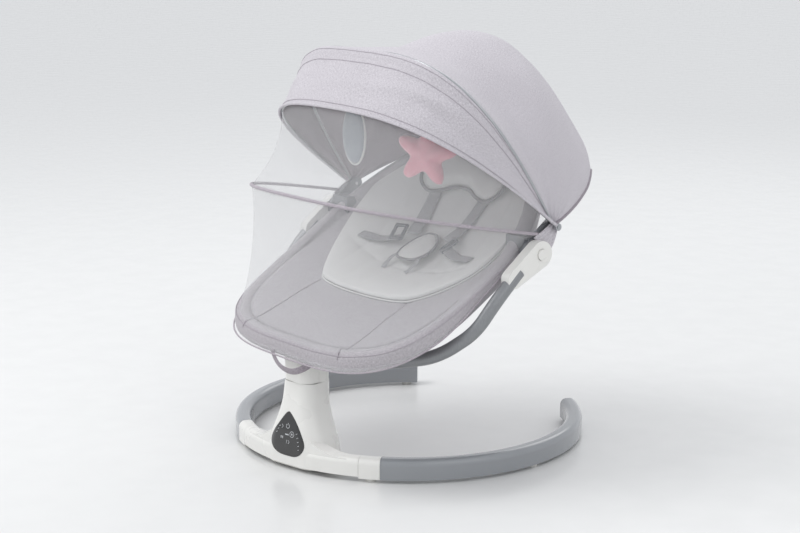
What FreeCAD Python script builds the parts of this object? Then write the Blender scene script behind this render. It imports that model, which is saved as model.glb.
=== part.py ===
import FreeCAD, Part
import math
import os

# Baby swing: a C-shaped floor base with a drive tower at the foot end, a seat on two curved arms that
# swings about the tower's upright axis, a folding canopy, a mosquito-net hoop and two hanging toys.
# Millimetres, +Z up. The origin is on the floor, on the swing axis. +Y runs to the head end when the
# seat is centred, and +X is the sitting baby's left. The seat rests turned from the centre by SWING_REST.

V = FreeCAD.Vector
os.makedirs("parts", exist_ok=True)

# ---- driving dimensions: base ----
RING_RADIUS = 306.0        # outer radius of the C-shaped base
RING_CENTRE_Y = 256.0      # from the swing axis to the base circle's centre
RING_WIDTH = 28.0
RING_HEIGHT = 34.0
FLOOR_GAP = 6.0            # underside of the base above the floor
SHELL_HALF = 25.6          # degrees each side of the foot end
SLEEVE_HALF = 32.4
ARM_GAP_HALF = 38.6        # half of the opening at the head end, degrees
WALL = 3.0
ARM_WALL = 2.5
CAP_DEPTH = 4.0
CAP_PLUG = 14.0
JOINER_HALF_START = 21.0
JOINER_HALF_END = 39.0
JOINER_WIDTH = 14.0
JOINER_HEIGHT = 18.0
FIT = 0.3                  # gap between parts that are assembled
SLIP = 0.05                # radial clearance of a shaft or pin in its bore
RUN = 0.6                  # gap between bodies that move past each other

# ---- driving dimensions: tower ----
TOWER_TOP = 145.0
TOWER_SECTIONS = (         # height, width, depth, centre y, corner radius
    (6.0, 128.0, 84.0, -8.0, 34.0),
    (36.0, 122.0, 84.0, -8.0, 34.0),
    (58.0, 108.0, 82.0, -8.0, 32.0),
    (84.0, 86.0, 75.0, -6.0, 28.0),
    (112.0, 72.0, 66.0, -3.0, 24.0),
    (145.0, 66.0, 60.0, 0.0, 20.0),
)
COLLAR_SECTIONS = (        # height above the seam, width, depth, corner radius
    (0.0, 66.0, 60.0, 20.0),
    (24.0, 67.0, 61.0, 20.0),
    (50.0, 74.0, 66.0, 22.0),
)
COLLAR_GAP = 0.8
REAR_COVER_WIDTH = 40.0
REAR_COVER_LOW = 14.0
REAR_COVER_HIGH = 112.0
PANEL_HALF_WIDTH = 41.0
PANEL_LOW = 24.0
PANEL_HIGH = 96.0
PANEL_THICKNESS = 2.0

# ---- driving dimensions: drive ----
SHAFT_RADIUS = 6.0
SHAFT_LOW = 50.0
SHAFT_HIGH = 188.0
BEARING_OUTER = 14.0
BEARING_HEIGHT = 10.0
LOWER_BEARING_Z = 64.0
UPPER_BEARING_Z = 128.0
HOUSING_RADIUS = 19.0
CRANK_DISTANCE = 26.0      # swing axis to crank axis
CRANK_RADIUS = 7.0
CRANK_PIN_RADIUS = 2.0
LEVER_SLOT = 7.4
GEAR_MODULE = 0.8
WHEEL_TEETH = 36
PINION_TEETH = 12
TOOTH_ROOT = 0.40          # half of a tooth at its root, as a share of one tooth step
GEAR_LOW = 43.0
GEAR_WIDTH = 5.0
GEAR_PLATE_Z = 38.0
PLATE_THICKNESS = 2.0
MOTOR_RADIUS = 10.0
MOTOR_LENGTH = 27.0
AXLE_RADIUS = 2.5
AXLE_HEAD = 2.0
SWING_REST = -10.0         # the seat's turn from the centre, degrees

# ---- driving dimensions: seat ----
SEAT_HALF_WIDTH = 253.0
SEAT_WIDEST_Y = 190.0
SEAT_FOOT_Y = -45.0
SEAT_HEAD_Y = 414.0
FOOT_POWER = 3.5
HEAD_POWER = 2.2
RIM_HEIGHT = 232.0         # rim height over the swing axis
RIM_SLOPE = 0.434
RIM_CURVE = 0.00067
RING_COUNT = 48            # points round each closed curve of the seat
FOOT_SAG = 12.0            # depth of the cloth between the rims at the foot and under the back
BACK_SAG = 95.0
SAG_START_Y = 60.0
SAG_LENGTH = 270.0
SLING_THICKNESS = 5.0
TUBE_RADIUS = 8.0
TUBE_BORE = 6.8
TUBE_INSET = 14.5
TUBE_DROP = 10.0
FABRIC = 3.0
HEM_DROP = 14.0
LINER_HALF_WIDTH = 198.0
LINER_Y = (104.0, 235.0, 368.0)
LINER_THICKNESS = 13.0
PILLOW_HALF_WIDTH = 100.0
PILLOW_Y = (298.0, 338.0, 376.0)
PILLOW_THICKNESS = 32.0
STRAP_THICKNESS = 2.0
CROTCH_PAD_HALF_WIDTH = 29.0
CROTCH_PAD_Y = (206.0, 232.0, 256.0)
CROTCH_PAD_THICKNESS = 12.0
TUBE_CHANNEL = 3.8         # gap between the hoop and the cloth folded over it
PAD_GAP = 3.0

# ---- driving dimensions: seat suspension ----
RECLINE_Y = 262.0
RECLINE_Z = 368.0
HUB_IN = 257.0
HUB_THICKNESS = 8.0
HUB_RADIUS = 22.0
HOUSING_THICKNESS = 18.0
HOUSING_GAP = 1.0
HOUSING_TAIL = (206.0, 334.0)
HOUSING_TAIL_RADIUS = 15.0
RECLINE_PIN_RADIUS = 5.0
BUTTON_RADIUS = 9.0
BUTTON_TRAVEL = 3.0
ARM_TUBE_RADIUS = 11.0
ARM_TUBE_BORE = 9.5
ARM_ROOT_Z = 181.0

# ---- driving dimensions: canopy, net and toys ----
CANOPY_Y = 300.0
CANOPY_Z = 408.0
CANOPY_HALF_WIDTH = 267.0
BOW_RADIUS = 2.5
BOW_POWER = 2.8            # squareness of the front and net bows
MID_BOW_POWER = 3.25
MID_BOW_HEIGHT = 329.0
MID_BOW_ANGLE = 33.0       # forward of upright, degrees
MID_BOW_OUT = 3.0          # the bow outside the hood's own half width
FRONT_BOW_HEIGHT = 309.0
FRONT_BOW_ANGLE = 52.5
PANEL_CLOTH = 2.5
HOOD_SECTIONS = (          # angle forward of upright, height from the pivot axis, squareness
    (30.5, 324.0, 3.1),
    (25.0, 304.0, 2.35),
    (15.0, 284.0, 1.9),
    (0.0, 291.0, 1.8),
    (-15.0, 298.0, 1.8),
    (-30.0, 282.0, 1.8),
    (-45.0, 264.0, 1.85),
    (-60.0, 254.0, 1.95),
    (-80.0, 240.0, 1.9),
    (-95.0, 226.0, 1.9),
)
BRIM_SECTIONS = (
    (35.5, 326.0, 3.1),
    (43.0, 318.0, 2.95),
    (50.0, 312.0, 2.8),
)
BRIM_END = 9.0
EYE_MIDDLE = 279.0
EYE_WIDTH = 6.0
EYE_RADIUS = 6.0
STUD_OUT = 283.0
HEM_GAP = 3.0
HOOD_END = 6.0             # cut-off at the gathered ends, degrees of the bow's own parameter
NET_Y = 300.0
NET_Z = 392.0
NET_HALF_WIDTH = 262.0
NET_BOW_HEIGHT = 333.0
NET_BOW_ANGLE = 79.0
NET_SEAM = 1.2             # between the bow and the net sewn to either side of it, degrees
NET_BOW_START = 2.0        # where the wire begins beside the hub, degrees of its own parameter
NET_BOW_RADIUS = 2.0
NET_BOW_OUT = 6.5          # the wire outside the net's own half width, past the hub
NET_CLOTH = 1.0
BOSS_RADIUS = 12.0
STUD_RADIUS = 3.0
TOY_X = 98.0
TOY_Y = 175.0
TOY_HANG_Z = 664.0
TOY_TURN = 30.0            # the star's turn about its ribbon, degrees
STAR_LEAN = -8.0
TOY_Z = 517.0
STAR_RADIUS = 50.0
STAR_WAIST = 27.0
STAR_THICKNESS = 30.0
OVAL_HEIGHT = 104.0
OVAL_WIDTH = 62.0
OVAL_THICKNESS = 26.0
RIBBON_WIDTH = 8.0
RIBBON_THICKNESS = 1.2


# ---- shape helpers ----
def save(shape, name):
    """Write one sub-part that stays on the base."""
    shape.exportStep("parts/" + name + ".step")


def save_on_seat(shape, name):
    """Write one sub-part that swings, turned from the centred seat to its resting place."""
    turned = shape.copy()
    turned.rotate(V(0, 0, 0), V(0, 0, 1), SWING_REST)
    save(turned, name)


def save_pair(shape, name, writer):
    """Write the left piece and its mirror image as the right piece."""
    writer(shape, name + "_left")
    writer(shape.mirror(V(0, 0, 0), V(1, 0, 0)), name + "_right")


def save_both(shape, name, writer):
    """Write a piece and its mirror image as one group."""
    writer(Part.makeCompound([shape, shape.mirror(V(0, 0, 0), V(1, 0, 0))]), name)


def block(x_low, x_high, y_low, y_high, z_low, z_high):
    """A box between two corners."""
    size = (x_high - x_low, y_high - y_low, z_high - z_low)
    return Part.makeBox(size[0], size[1], size[2], V(x_low, y_low, z_low))


def rod(radius, start, end):
    """A cylinder from one point to another."""
    along = end.sub(start)
    return Part.makeCylinder(radius, along.Length, start, along)


def rounded_rectangle(width, depth, corner, centre_y, z):
    """A horizontal rounded rectangle wire."""
    half_x = width / 2.0
    half_y = depth / 2.0
    diagonal = corner * math.sqrt(0.5)
    edges = []
    corners = ((1, 1), (-1, 1), (-1, -1), (1, -1))
    last = None
    first = None
    for number, (sx, sy) in enumerate(corners):
        hub = V(sx * (half_x - corner), centre_y + sy * (half_y - corner), z)
        ends = [V(hub.x + sx * corner, hub.y, z), V(hub.x, hub.y + sy * corner, z)]
        if number % 2 == 1:
            ends.reverse()
        middle = V(hub.x + sx * diagonal, hub.y + sy * diagonal, z)
        if last is not None:
            edges.append(Part.LineSegment(last, ends[0]).toShape())
        else:
            first = ends[0]
        edges.append(Part.Arc(ends[0], middle, ends[1]).toShape())
        last = ends[1]
    edges.append(Part.LineSegment(last, first).toShape())
    return Part.Wire(edges)


def ring_wire(points):
    """A closed smooth curve through points."""
    curve = Part.BSplineCurve()
    curve.interpolate(Points=points, PeriodicFlag=True)
    return Part.Wire([curve.toShape()])


def rounded_path(points, share=0.45):
    """Straight runs joined by tangent arcs."""
    edges = []
    last = points[0]
    for before, corner, after in zip(points, points[1:], points[2:]):
        into = corner.sub(before)
        out = after.sub(corner)
        reach = share * min(into.Length, out.Length)
        into.normalize()
        out.normalize()
        start = corner.sub(into * reach)
        end = corner.add(out * reach)
        inward = out.sub(into)
        inward.normalize()
        half_turn = math.acos(max(-1.0, min(1.0, into.dot(out)))) / 2.0
        radius = reach / math.tan(half_turn)
        depth = radius / math.cos(half_turn) - radius
        edges.append(Part.LineSegment(last, start).toShape())
        edges.append(Part.Arc(start, corner.add(inward * depth), end).toShape())
        last = end
    edges.append(Part.LineSegment(last, points[-1]).toShape())
    return Part.Wire(edges)


def pipe(points, radius, bore=0.0, share=0.45):
    """A round bar or tube along a rounded path."""
    path = rounded_path(points, share)
    direction = points[1].sub(points[0])
    solid = path.makePipeShell([Part.Wire([Part.makeCircle(radius, points[0], direction)])], True, True)
    if bore > 0:
        hollow = path.makePipeShell([Part.Wire([Part.makeCircle(bore, points[0], direction)])], True, True)
        solid = solid.cut(hollow)
    return solid


def ring_point(radius, degrees, z):
    """A point on the base circle, measured from the foot end towards the baby's left."""
    angle = math.radians(degrees)
    return V(radius * math.sin(angle), RING_CENTRE_Y - radius * math.cos(angle), z)


def base_section(inset, start, end, round_top=11.0):
    """A length of the C-shaped base: its rounded section turned about the base circle's centre."""
    outer = RING_RADIUS - inset
    inner = RING_RADIUS - RING_WIDTH + inset
    low = FLOOR_GAP + inset
    high = FLOOR_GAP + RING_HEIGHT - inset
    corner = round_top - inset
    diagonal = corner * (1 - math.sqrt(0.5))
    outline = [
        Part.LineSegment(V(inner, 0, low), V(outer, 0, low)),
        Part.LineSegment(V(outer, 0, low), V(outer, 0, high - corner)),
        Part.Arc(V(outer, 0, high - corner), V(outer - diagonal, 0, high - diagonal),
                 V(outer - corner, 0, high)),
        Part.LineSegment(V(outer - corner, 0, high), V(inner + corner, 0, high)),
        Part.Arc(V(inner + corner, 0, high), V(inner + diagonal, 0, high - diagonal),
                 V(inner, 0, high - corner)),
        Part.LineSegment(V(inner, 0, high - corner), V(inner, 0, low)),
    ]
    face = Part.Face(Part.Wire([line.toShape() for line in outline]))
    solid = face.revolve(V(0, 0, 0), V(0, 0, 1), end - start)
    solid.rotate(V(0, 0, 0), V(0, 0, 1), start - 90.0)
    solid.translate(V(0, RING_CENTRE_Y, 0))
    return solid


def gear(teeth, centre, width, tooth_share, start):
    """A spur gear with straight-sided teeth, its first tooth at an angle in degrees."""
    pitch = GEAR_MODULE * teeth / 2.0
    tip = pitch + 0.9 * GEAR_MODULE
    root = pitch - 1.25 * GEAR_MODULE
    step = 360.0 / teeth
    half_tip = 0.5 * tooth_share
    tooth = ((root, -TOOTH_ROOT), (tip, -half_tip), (tip, half_tip), (root, TOOTH_ROOT))
    points = []
    for number in range(teeth):
        middle = start + number * step
        for radius, offset in tooth:
            angle = math.radians(middle + offset * step)
            points.append(centre + V(radius * math.cos(angle), radius * math.sin(angle), 0))
    points.append(points[0])
    return Part.Face(Part.makePolygon(points)).extrude(V(0, 0, width))


# ---- base ----
def tower_form(inset, top):
    """The tower's column, shrunk by an inset, cut at a height."""
    wires = []
    for z, width, depth, centre_y, corner in TOWER_SECTIONS:
        wires.append(rounded_rectangle(width - 2 * inset, depth - 2 * inset, corner - inset, centre_y, z))
    column = Part.makeLoft(wires, True, False)
    keep = block(-200, 200, -200, 200, FLOOR_GAP, top)
    return column.common(keep)


def wing_form(inset):
    """The band of the base that spreads from the column to the sleeves, raised towards the column."""
    band = base_section(inset, -SHELL_HALF, SHELL_HALF)
    outer = Part.makeCylinder(RING_RADIUS - inset - 2.0, 100, V(0, RING_CENTRE_Y, FLOOR_GAP))
    inner = Part.makeCylinder(RING_RADIUS - RING_WIDTH + inset + 2.0, 100, V(0, RING_CENTRE_Y, FLOOR_GAP))
    rise = FLOOR_GAP + RING_HEIGHT - 1.0 - inset
    edges = [
        Part.LineSegment(V(-112, 0, FLOOR_GAP), V(112, 0, FLOOR_GAP)),
        Part.LineSegment(V(112, 0, FLOOR_GAP), V(112, 0, rise - 2)),
        Part.Arc(V(112, 0, rise - 2), V(78, 0, rise + 3), V(48, 0, rise + 17)),
        Part.LineSegment(V(48, 0, rise + 17), V(-48, 0, rise + 17)),
        Part.Arc(V(-48, 0, rise + 17), V(-78, 0, rise + 3), V(-112, 0, rise - 2)),
        Part.LineSegment(V(-112, 0, rise - 2), V(-112, 0, FLOOR_GAP)),
    ]
    outline = Part.Face(Part.Wire([edge.toShape() for edge in edges]))
    flare = outline.extrude(V(0, 120, 0))
    flare.translate(V(0, -70, 0))
    return band.fuse(flare.common(outer.cut(inner)))


def make_tower():
    """The white tower shell, its rear cover, the control panel and what fastens them."""
    outside = tower_form(0.0, TOWER_TOP).fuse(wing_form(0.0)).removeSplitter()
    inside = tower_form(WALL, TOWER_TOP - 4.0).fuse(wing_form(WALL))
    floor_cut = block(-200, 200, -200, 200, 0, FLOOR_GAP + WALL)
    shell = outside.cut(inside).cut(floor_cut)
    shell = shell.cut(rod(SHAFT_RADIUS + 2.0, V(0, 0, TOWER_TOP - 10), V(0, 0, TOWER_TOP + 5)))
    egg = panel_outline(PANEL_HALF_WIDTH)
    skin = tower_form(-0.3, TOWER_TOP).cut(tower_form(PANEL_THICKNESS - 0.3, TOWER_TOP))
    front = block(-60, 60, -60, -20, 0, TOWER_TOP)
    lens = egg.common(skin).common(front)
    pocket = panel_outline(PANEL_HALF_WIDTH + FIT).common(front)
    pocket = pocket.cut(tower_form(PANEL_THICKNESS - 0.3 + 0.1, TOWER_TOP))
    shell = shell.cut(pocket)
    opening = block(-REAR_COVER_WIDTH / 2, REAR_COVER_WIDTH / 2, 10, 60, REAR_COVER_LOW, REAR_COVER_HIGH)
    gap = block(-REAR_COVER_WIDTH / 2 + FIT, REAR_COVER_WIDTH / 2 - FIT, 10, 60,
                REAR_COVER_LOW + FIT, REAR_COVER_HIGH - FIT)
    rear = tower_form(0.0, TOWER_TOP).cut(tower_form(WALL, TOWER_TOP - 4.0)).common(gap)
    shell = shell.cut(opening)
    jack_y = 34.0
    rear = rear.cut(rod(5.0 + SLIP, V(0, jack_y - 12, 24), V(0, jack_y + 6, 24)))
    for row in range(-2, 3):
        for column in range(-2, 3):
            hole = V(column * 5.0, jack_y - 8, 58 + row * 5.0)
            rear = rear.cut(rod(1.2, hole, hole.add(V(0, 20, 0))))
    screws = []
    for x in (-14.0, 14.0):
        for z in (36.0, 100.0):
            screw = rod(1.5, V(x, 16, z), V(x, 40, z))
            rear = rear.cut(rod(1.5, V(x, 10, z), V(x, 45, z)))
            screws.append(screw.common(tower_form(0.5, TOWER_TOP)).cut(tower_form(WALL + 4, TOWER_TOP)))
    save(shell, "tower_shell")
    save(lens, "control_panel")
    save(rear, "rear_cover")
    save(Part.makeCompound(screws), "cover_screws")
    jack = rod(5.0, V(0, 16, 24), V(0, jack_y - 0.6, 24))
    jack = jack.cut(rod(3.0, V(0, 22, 24), V(0, jack_y, 24)))
    save(jack.fuse(rod(1.0, V(0, 16, 24), V(0, jack_y - 3, 24))), "dc_jack")
    speaker = Part.makeCone(8, 14, 6.4, V(0, 22.6, 58), V(0, 1, 0))
    save(speaker.fuse(rod(8, V(0, 19.8, 58), V(0, 22.8, 58))), "speaker")
    board = block(-24, 24, -41.2, -39.6, 59, 78)
    chip = block(-8, 8, -39.6, -38, 62, 74)
    save(board.fuse(chip), "control_board")


def panel_outline(half_width):
    """The control panel's egg-shaped outline as a prism along Y."""
    grow = half_width - PANEL_HALF_WIDTH
    low = PANEL_LOW - grow
    high = PANEL_HIGH + grow
    points = []
    for x, z in ((0.0, high), (0.42, high - 14), (0.80, high - 36), (0.92, low + 20), (0.62, low + 4)):
        points.append(V(x * half_width, -80, z))
    left = [V(-point.x, -80, point.z) for point in reversed(points[1:])]
    points.append(V(0, -80, low))
    outline = ring_wire(points + left)
    return Part.Face(outline).extrude(V(0, 70, 0))


def make_base():
    """Chassis, sleeves, arms, end caps, joining bars, feet and their screws."""
    plate = base_section(WALL + FIT, -SHELL_HALF + 0.4, SHELL_HALF - 0.4)
    plate = plate.fuse(tower_form(WALL + FIT, FLOOR_GAP + 10))
    plate = plate.common(block(-200, 200, -200, 200, FLOOR_GAP, FLOOR_GAP + WALL - 0.2))
    post_spots = ((-27.0, -36.0), (30.0, -38.0), (-27.0, 14.0), (27.0, 14.0))
    frame = block(-32, 34, -42, 18.5, GEAR_PLATE_Z, GEAR_PLATE_Z + PLATE_THICKNESS)
    frame = frame.common(tower_form(WALL + 1.5, TOWER_TOP))
    housing_plate_z = LOWER_BEARING_Z - 8.0
    housing = block(-32, 34, -42, 18.5, housing_plate_z, housing_plate_z + PLATE_THICKNESS)
    housing = housing.common(tower_form(WALL + 1.5, TOWER_TOP))
    housing_tube = rod(HOUSING_RADIUS, V(0, 0, housing_plate_z), V(0, 0, UPPER_BEARING_Z + BEARING_HEIGHT))
    housing = housing.fuse(housing_tube)
    housing = housing.cut(rod(BEARING_OUTER, V(0, 0, LOWER_BEARING_Z), V(0, 0, TOWER_TOP)))
    housing = housing.cut(rod(SHAFT_RADIUS + 2, V(0, 0, 40), V(0, 0, TOWER_TOP)))
    screws = []
    for x, y in post_spots:
        post = rod(3.6, V(x, y, FLOOR_GAP + WALL), V(x, y, housing_plate_z))
        frame = frame.fuse(post)
    for x, y in post_spots:
        screws.append(rod(2.4, V(x, y, FLOOR_GAP + 0.2), V(x, y, FLOOR_GAP + 1.4)))
        screws[-1] = screws[-1].fuse(rod(1.25, V(x, y, FLOOR_GAP + 0.2), V(x, y, FLOOR_GAP + 12)))
        top_screw = rod(1.25, V(x, y, housing_plate_z - 8), V(x, y, housing_plate_z + PLATE_THICKNESS + 1))
        screws.append(top_screw.fuse(rod(2.4, V(x, y, housing_plate_z + PLATE_THICKNESS),
                                         V(x, y, housing_plate_z + PLATE_THICKNESS + 1.6))))
    for screw in screws:
        frame = frame.cut(screw)
        plate = plate.cut(screw)
        housing = housing.cut(screw)
    pinion_x = GEAR_MODULE * (WHEEL_TEETH + PINION_TEETH) / 2.0
    frame = frame.cut(rod(3.0, V(pinion_x, -CRANK_DISTANCE, 30), V(pinion_x, -CRANK_DISTANCE, 60)))
    frame = frame.cut(rod(AXLE_RADIUS, V(0, -CRANK_DISTANCE, 30), V(0, -CRANK_DISTANCE, 60)))
    save(plate, "base_chassis")
    save(frame, "gear_frame")
    save(housing, "bearing_housing")
    save(Part.makeCompound(screws), "frame_screws")
    races = []
    for z in (LOWER_BEARING_Z, UPPER_BEARING_Z):
        race = rod(BEARING_OUTER - 0.02, V(0, 0, z), V(0, 0, z + BEARING_HEIGHT))
        races.append(race.cut(rod(SHAFT_RADIUS + SLIP, V(0, 0, z - 1), V(0, 0, z + BEARING_HEIGHT + 1))))
    save(Part.makeCompound(races), "shaft_bearings")
    axle_low = V(0, -CRANK_DISTANCE, GEAR_PLATE_Z - AXLE_HEAD)
    axle_head = rod(AXLE_RADIUS + 1.5, axle_low, V(0, -CRANK_DISTANCE, GEAR_PLATE_Z))
    axle = rod(AXLE_RADIUS, axle_low, V(0, -CRANK_DISTANCE, GEAR_LOW + GEAR_WIDTH - 1))
    save(axle.fuse(axle_head), "crank_axle")
    motor = rod(MOTOR_RADIUS, V(pinion_x, -CRANK_DISTANCE, GEAR_PLATE_Z - MOTOR_LENGTH),
                V(pinion_x, -CRANK_DISTANCE, GEAR_PLATE_Z))
    save(motor.fuse(rod(2.8, V(pinion_x, -CRANK_DISTANCE, GEAR_PLATE_Z),
                        V(pinion_x, -CRANK_DISTANCE, GEAR_PLATE_Z + PLATE_THICKNESS))), "gear_motor")
    sleeve = base_section(0.0, SHELL_HALF + 0.1, SLEEVE_HALF)
    sleeve = sleeve.cut(base_section(WALL, SHELL_HALF, SLEEVE_HALF + 1))
    arm = base_section(0.0, SLEEVE_HALF + 0.1, 180 - ARM_GAP_HALF)
    arm = arm.cut(base_section(ARM_WALL, SLEEVE_HALF, 181 - ARM_GAP_HALF))
    cap_turn = math.degrees(CAP_DEPTH / RING_RADIUS)
    plug_turn = math.degrees(CAP_PLUG / RING_RADIUS)
    cap = base_section(0.0, 180 - ARM_GAP_HALF, 180 - ARM_GAP_HALF + cap_turn)
    cap = cap.fuse(base_section(ARM_WALL + 0.1, 180 - ARM_GAP_HALF - plug_turn, 180 - ARM_GAP_HALF + 0.1))
    save_pair(sleeve, "arm_sleeve", save)
    save_pair(arm, "base_arm", save)
    save_pair(cap, "arm_end_cap", save)
    middle = RING_RADIUS - RING_WIDTH / 2.0
    bar = Part.makeCylinder(middle + JOINER_WIDTH / 2, JOINER_HEIGHT, V(0, 0, FLOOR_GAP + 5), V(0, 0, 1),
                            JOINER_HALF_END - JOINER_HALF_START)
    bar = bar.cut(Part.makeCylinder(middle - JOINER_WIDTH / 2, JOINER_HEIGHT, V(0, 0, FLOOR_GAP + 5)))
    bar.rotate(V(0, 0, 0), V(0, 0, 1), JOINER_HALF_START - 90)
    bar.translate(V(0, RING_CENTRE_Y, 0))
    save_both(bar, "arm_joiners", save)
    pads = [rod(14.0, V(0, 0, 0), V(0, 0, FLOOR_GAP))]
    for degrees in (29.0, 86.0, 138.0):
        for side in (-1, 1):
            spot = ring_point(middle, side * degrees, 0)
            pads.append(rod(9.0, spot, spot.add(V(0, 0, FLOOR_GAP))))
    save(Part.makeCompound(pads), "rubber_feet")


# ---- drive ----
def crank_turn():
    """The crank's turn when the seat rests off-centre, in degrees."""
    return SWING_REST * (CRANK_DISTANCE + CRANK_RADIUS) / CRANK_RADIUS


def make_drive():
    """Crank wheel with its pin, pinion, slotted lever and the swing shaft."""
    centre = V(0, -CRANK_DISTANCE, GEAR_LOW)
    turn = crank_turn()
    wheel = gear(WHEEL_TEETH, centre, GEAR_WIDTH, 0.24, turn)
    wheel = wheel.cut(rod(AXLE_RADIUS + SLIP, centre.add(V(0, 0, -1)), centre.add(V(0, 0, GEAR_WIDTH + 1))))
    angle = math.radians(turn - 90.0)
    pin_spot = centre.add(V(CRANK_RADIUS * math.cos(angle), CRANK_RADIUS * math.sin(angle), 0))
    wheel = wheel.fuse(rod(CRANK_PIN_RADIUS, pin_spot, pin_spot.add(V(0, 0, GEAR_WIDTH + 6))))
    save(wheel, "crank_wheel")
    pinion_x = GEAR_MODULE * (WHEEL_TEETH + PINION_TEETH) / 2.0
    ratio = WHEEL_TEETH / PINION_TEETH
    pinion = gear(PINION_TEETH, V(pinion_x, -CRANK_DISTANCE, GEAR_LOW), GEAR_WIDTH, 0.24,
                  180.0 + 180.0 / PINION_TEETH - turn * ratio)
    pinion = pinion.fuse(rod(1.5, V(pinion_x, -CRANK_DISTANCE, GEAR_PLATE_Z + PLATE_THICKNESS + 0.4),
                             V(pinion_x, -CRANK_DISTANCE, GEAR_LOW + GEAR_WIDTH)))
    save(pinion, "motor_pinion")
    lever_low = GEAR_LOW + GEAR_WIDTH + 1.5
    lever_high = lever_low + 3.5
    far = CRANK_DISTANCE + CRANK_RADIUS
    lever = block(-7.5, 7.5, -far - 6, 0, lever_low, lever_high)
    lever = lever.fuse(rod(11, V(0, 0, lever_low), V(0, 0, lever_high)))
    lever = lever.cut(block(-LEVER_SLOT / 2, LEVER_SLOT / 2, -far - 3, -CRANK_DISTANCE + CRANK_RADIUS + 4,
                            lever_low - 1, lever_high + 1))
    lever = lever.cut(rod(SHAFT_RADIUS, V(0, 0, lever_low - 1), V(0, 0, lever_high + 1)))
    save_on_seat(lever, "swing_lever")
    save_on_seat(rod(SHAFT_RADIUS, V(0, 0, lever_low), V(0, 0, SHAFT_HIGH)), "swing_shaft")


def make_collar():
    """The white collar in two shells, the yoke inside it and the two curved seat arms."""
    low = TOWER_TOP + COLLAR_GAP

    def form(inset, low_cut):
        wires = []
        for z, width, depth, corner in COLLAR_SECTIONS:
            wires.append(rounded_rectangle(width - 2 * inset, depth - 2 * inset, corner - inset, 0,
                                           low + z))
        return Part.makeLoft(wires, True, False).common(block(-60, 60, -60, 60, low + low_cut, 400))

    shell = form(0.0, 0.0).cut(form(WALL, WALL))
    shell = shell.cut(rod(SHAFT_RADIUS + 1, V(0, 0, low - 1), V(0, 0, low + WALL + 1)))
    path = arm_path()
    bore = pipe(path, ARM_TUBE_RADIUS + FIT)
    for piece in (bore, bore.mirror(V(0, 0, 0), V(1, 0, 0))):
        shell = shell.cut(piece)
    save_on_seat(shell.common(block(-60, 60, -60, -FIT / 2, 0, 400)), "collar_front")
    save_on_seat(shell.common(block(-60, 60, FIT / 2, 60, 0, 400)), "collar_rear")
    yoke = block(-24, 24, -14, 22, ARM_ROOT_Z - 15, ARM_ROOT_Z + 10)
    yoke = yoke.cut(rod(SHAFT_RADIUS, V(0, 0, 100), V(0, 0, SHAFT_HIGH)))
    solid_arm = pipe(path, ARM_TUBE_RADIUS)
    yoke = yoke.cut(solid_arm).cut(solid_arm.mirror(V(0, 0, 0), V(1, 0, 0)))
    save_on_seat(yoke, "arm_yoke")
    save_pair(pipe(path, ARM_TUBE_RADIUS, ARM_TUBE_BORE), "support_arm", save_on_seat)


def arm_path():
    """The left support arm's route from the yoke under the seat to the recline housing."""
    housing_x = HUB_IN + HUB_THICKNESS + HOUSING_GAP + HOUSING_THICKNESS / 2.0
    return [
        V(14, 8, ARM_ROOT_Z),
        V(66, 46, ARM_ROOT_Z + 1),
        V(128, 84, ARM_ROOT_Z + 5),
        V(212, 106, ARM_ROOT_Z + 28),
        V(266, 138, ARM_ROOT_Z + 74),
        V(housing_x, 172, ARM_ROOT_Z + 120),
        V(housing_x, HOUSING_TAIL[0] + 14, HOUSING_TAIL[1] + 10),
    ]


# ---- seat ----
def rim_z(y):
    """Height of the seat's rim at a place along the seat."""
    return RIM_HEIGHT + RIM_SLOPE * y + RIM_CURVE * y * y


def power_point(t, half_width, low, middle, high, low_power, high_power):
    """A point on an egg-shaped outline that is squarer at its low end."""
    c = math.cos(t)
    s = math.sin(t)
    power = high_power if s >= 0 else low_power
    reach = (high - middle) if s >= 0 else (middle - low)
    x = half_width * math.copysign(abs(c) ** (2 / power), c)
    y = middle + reach * math.copysign(abs(s) ** (2 / power), s)
    return x, y


def seat_fraction(x, y):
    """0 at the seat's centre and 1 on its rim."""
    power = HEAD_POWER if y >= SEAT_WIDEST_Y else FOOT_POWER
    reach = (SEAT_HEAD_Y - SEAT_WIDEST_Y) if y >= SEAT_WIDEST_Y else (SEAT_WIDEST_Y - SEAT_FOOT_Y)
    total = abs(x / SEAT_HALF_WIDTH) ** power + abs((y - SEAT_WIDEST_Y) / reach) ** power
    return total ** (1.0 / power)


def sling_z(x, y):
    """Height of the seat sling's middle surface."""
    share = min(1.0, seat_fraction(x, y))
    along = min(1.0, max(0.0, (y - SAG_START_Y) / SAG_LENGTH))
    sag = FOOT_SAG + (BACK_SAG - FOOT_SAG) * along * along * (3.0 - 2.0 * along)
    return rim_z(y) - sag * (1.0 - share ** 2)


def seat_ring(inset, drop):
    """A closed curve parallel to the rim, inset, and lowered from the rim's height over the hoop."""
    points = []
    for number in range(RING_COUNT):
        t = 2 * math.pi * number / RING_COUNT
        x, y = rim_point(t, inset)
        points.append(V(x, y, rim_z(rim_point(t, TUBE_INSET)[1]) - drop))
    return points


def rim_point(t, inset):
    """A place on the seat's outline, moved inwards."""
    return power_point(t, SEAT_HALF_WIDTH - inset, SEAT_FOOT_Y + inset, SEAT_WIDEST_Y, SEAT_HEAD_Y - inset,
                       FOOT_POWER, HEAD_POWER)


def sling_ring(scale, lift):
    """A closed curve on the sling, at a share of the way out from its centre."""
    points = []
    for number in range(RING_COUNT):
        t = 2 * math.pi * number / RING_COUNT
        x, y = rim_point(t, 0.0)
        x = scale * x
        y = SEAT_WIDEST_Y + scale * (y - SEAT_WIDEST_Y)
        points.append(V(x, y, sling_z(x, y) + lift))
    return points


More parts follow.
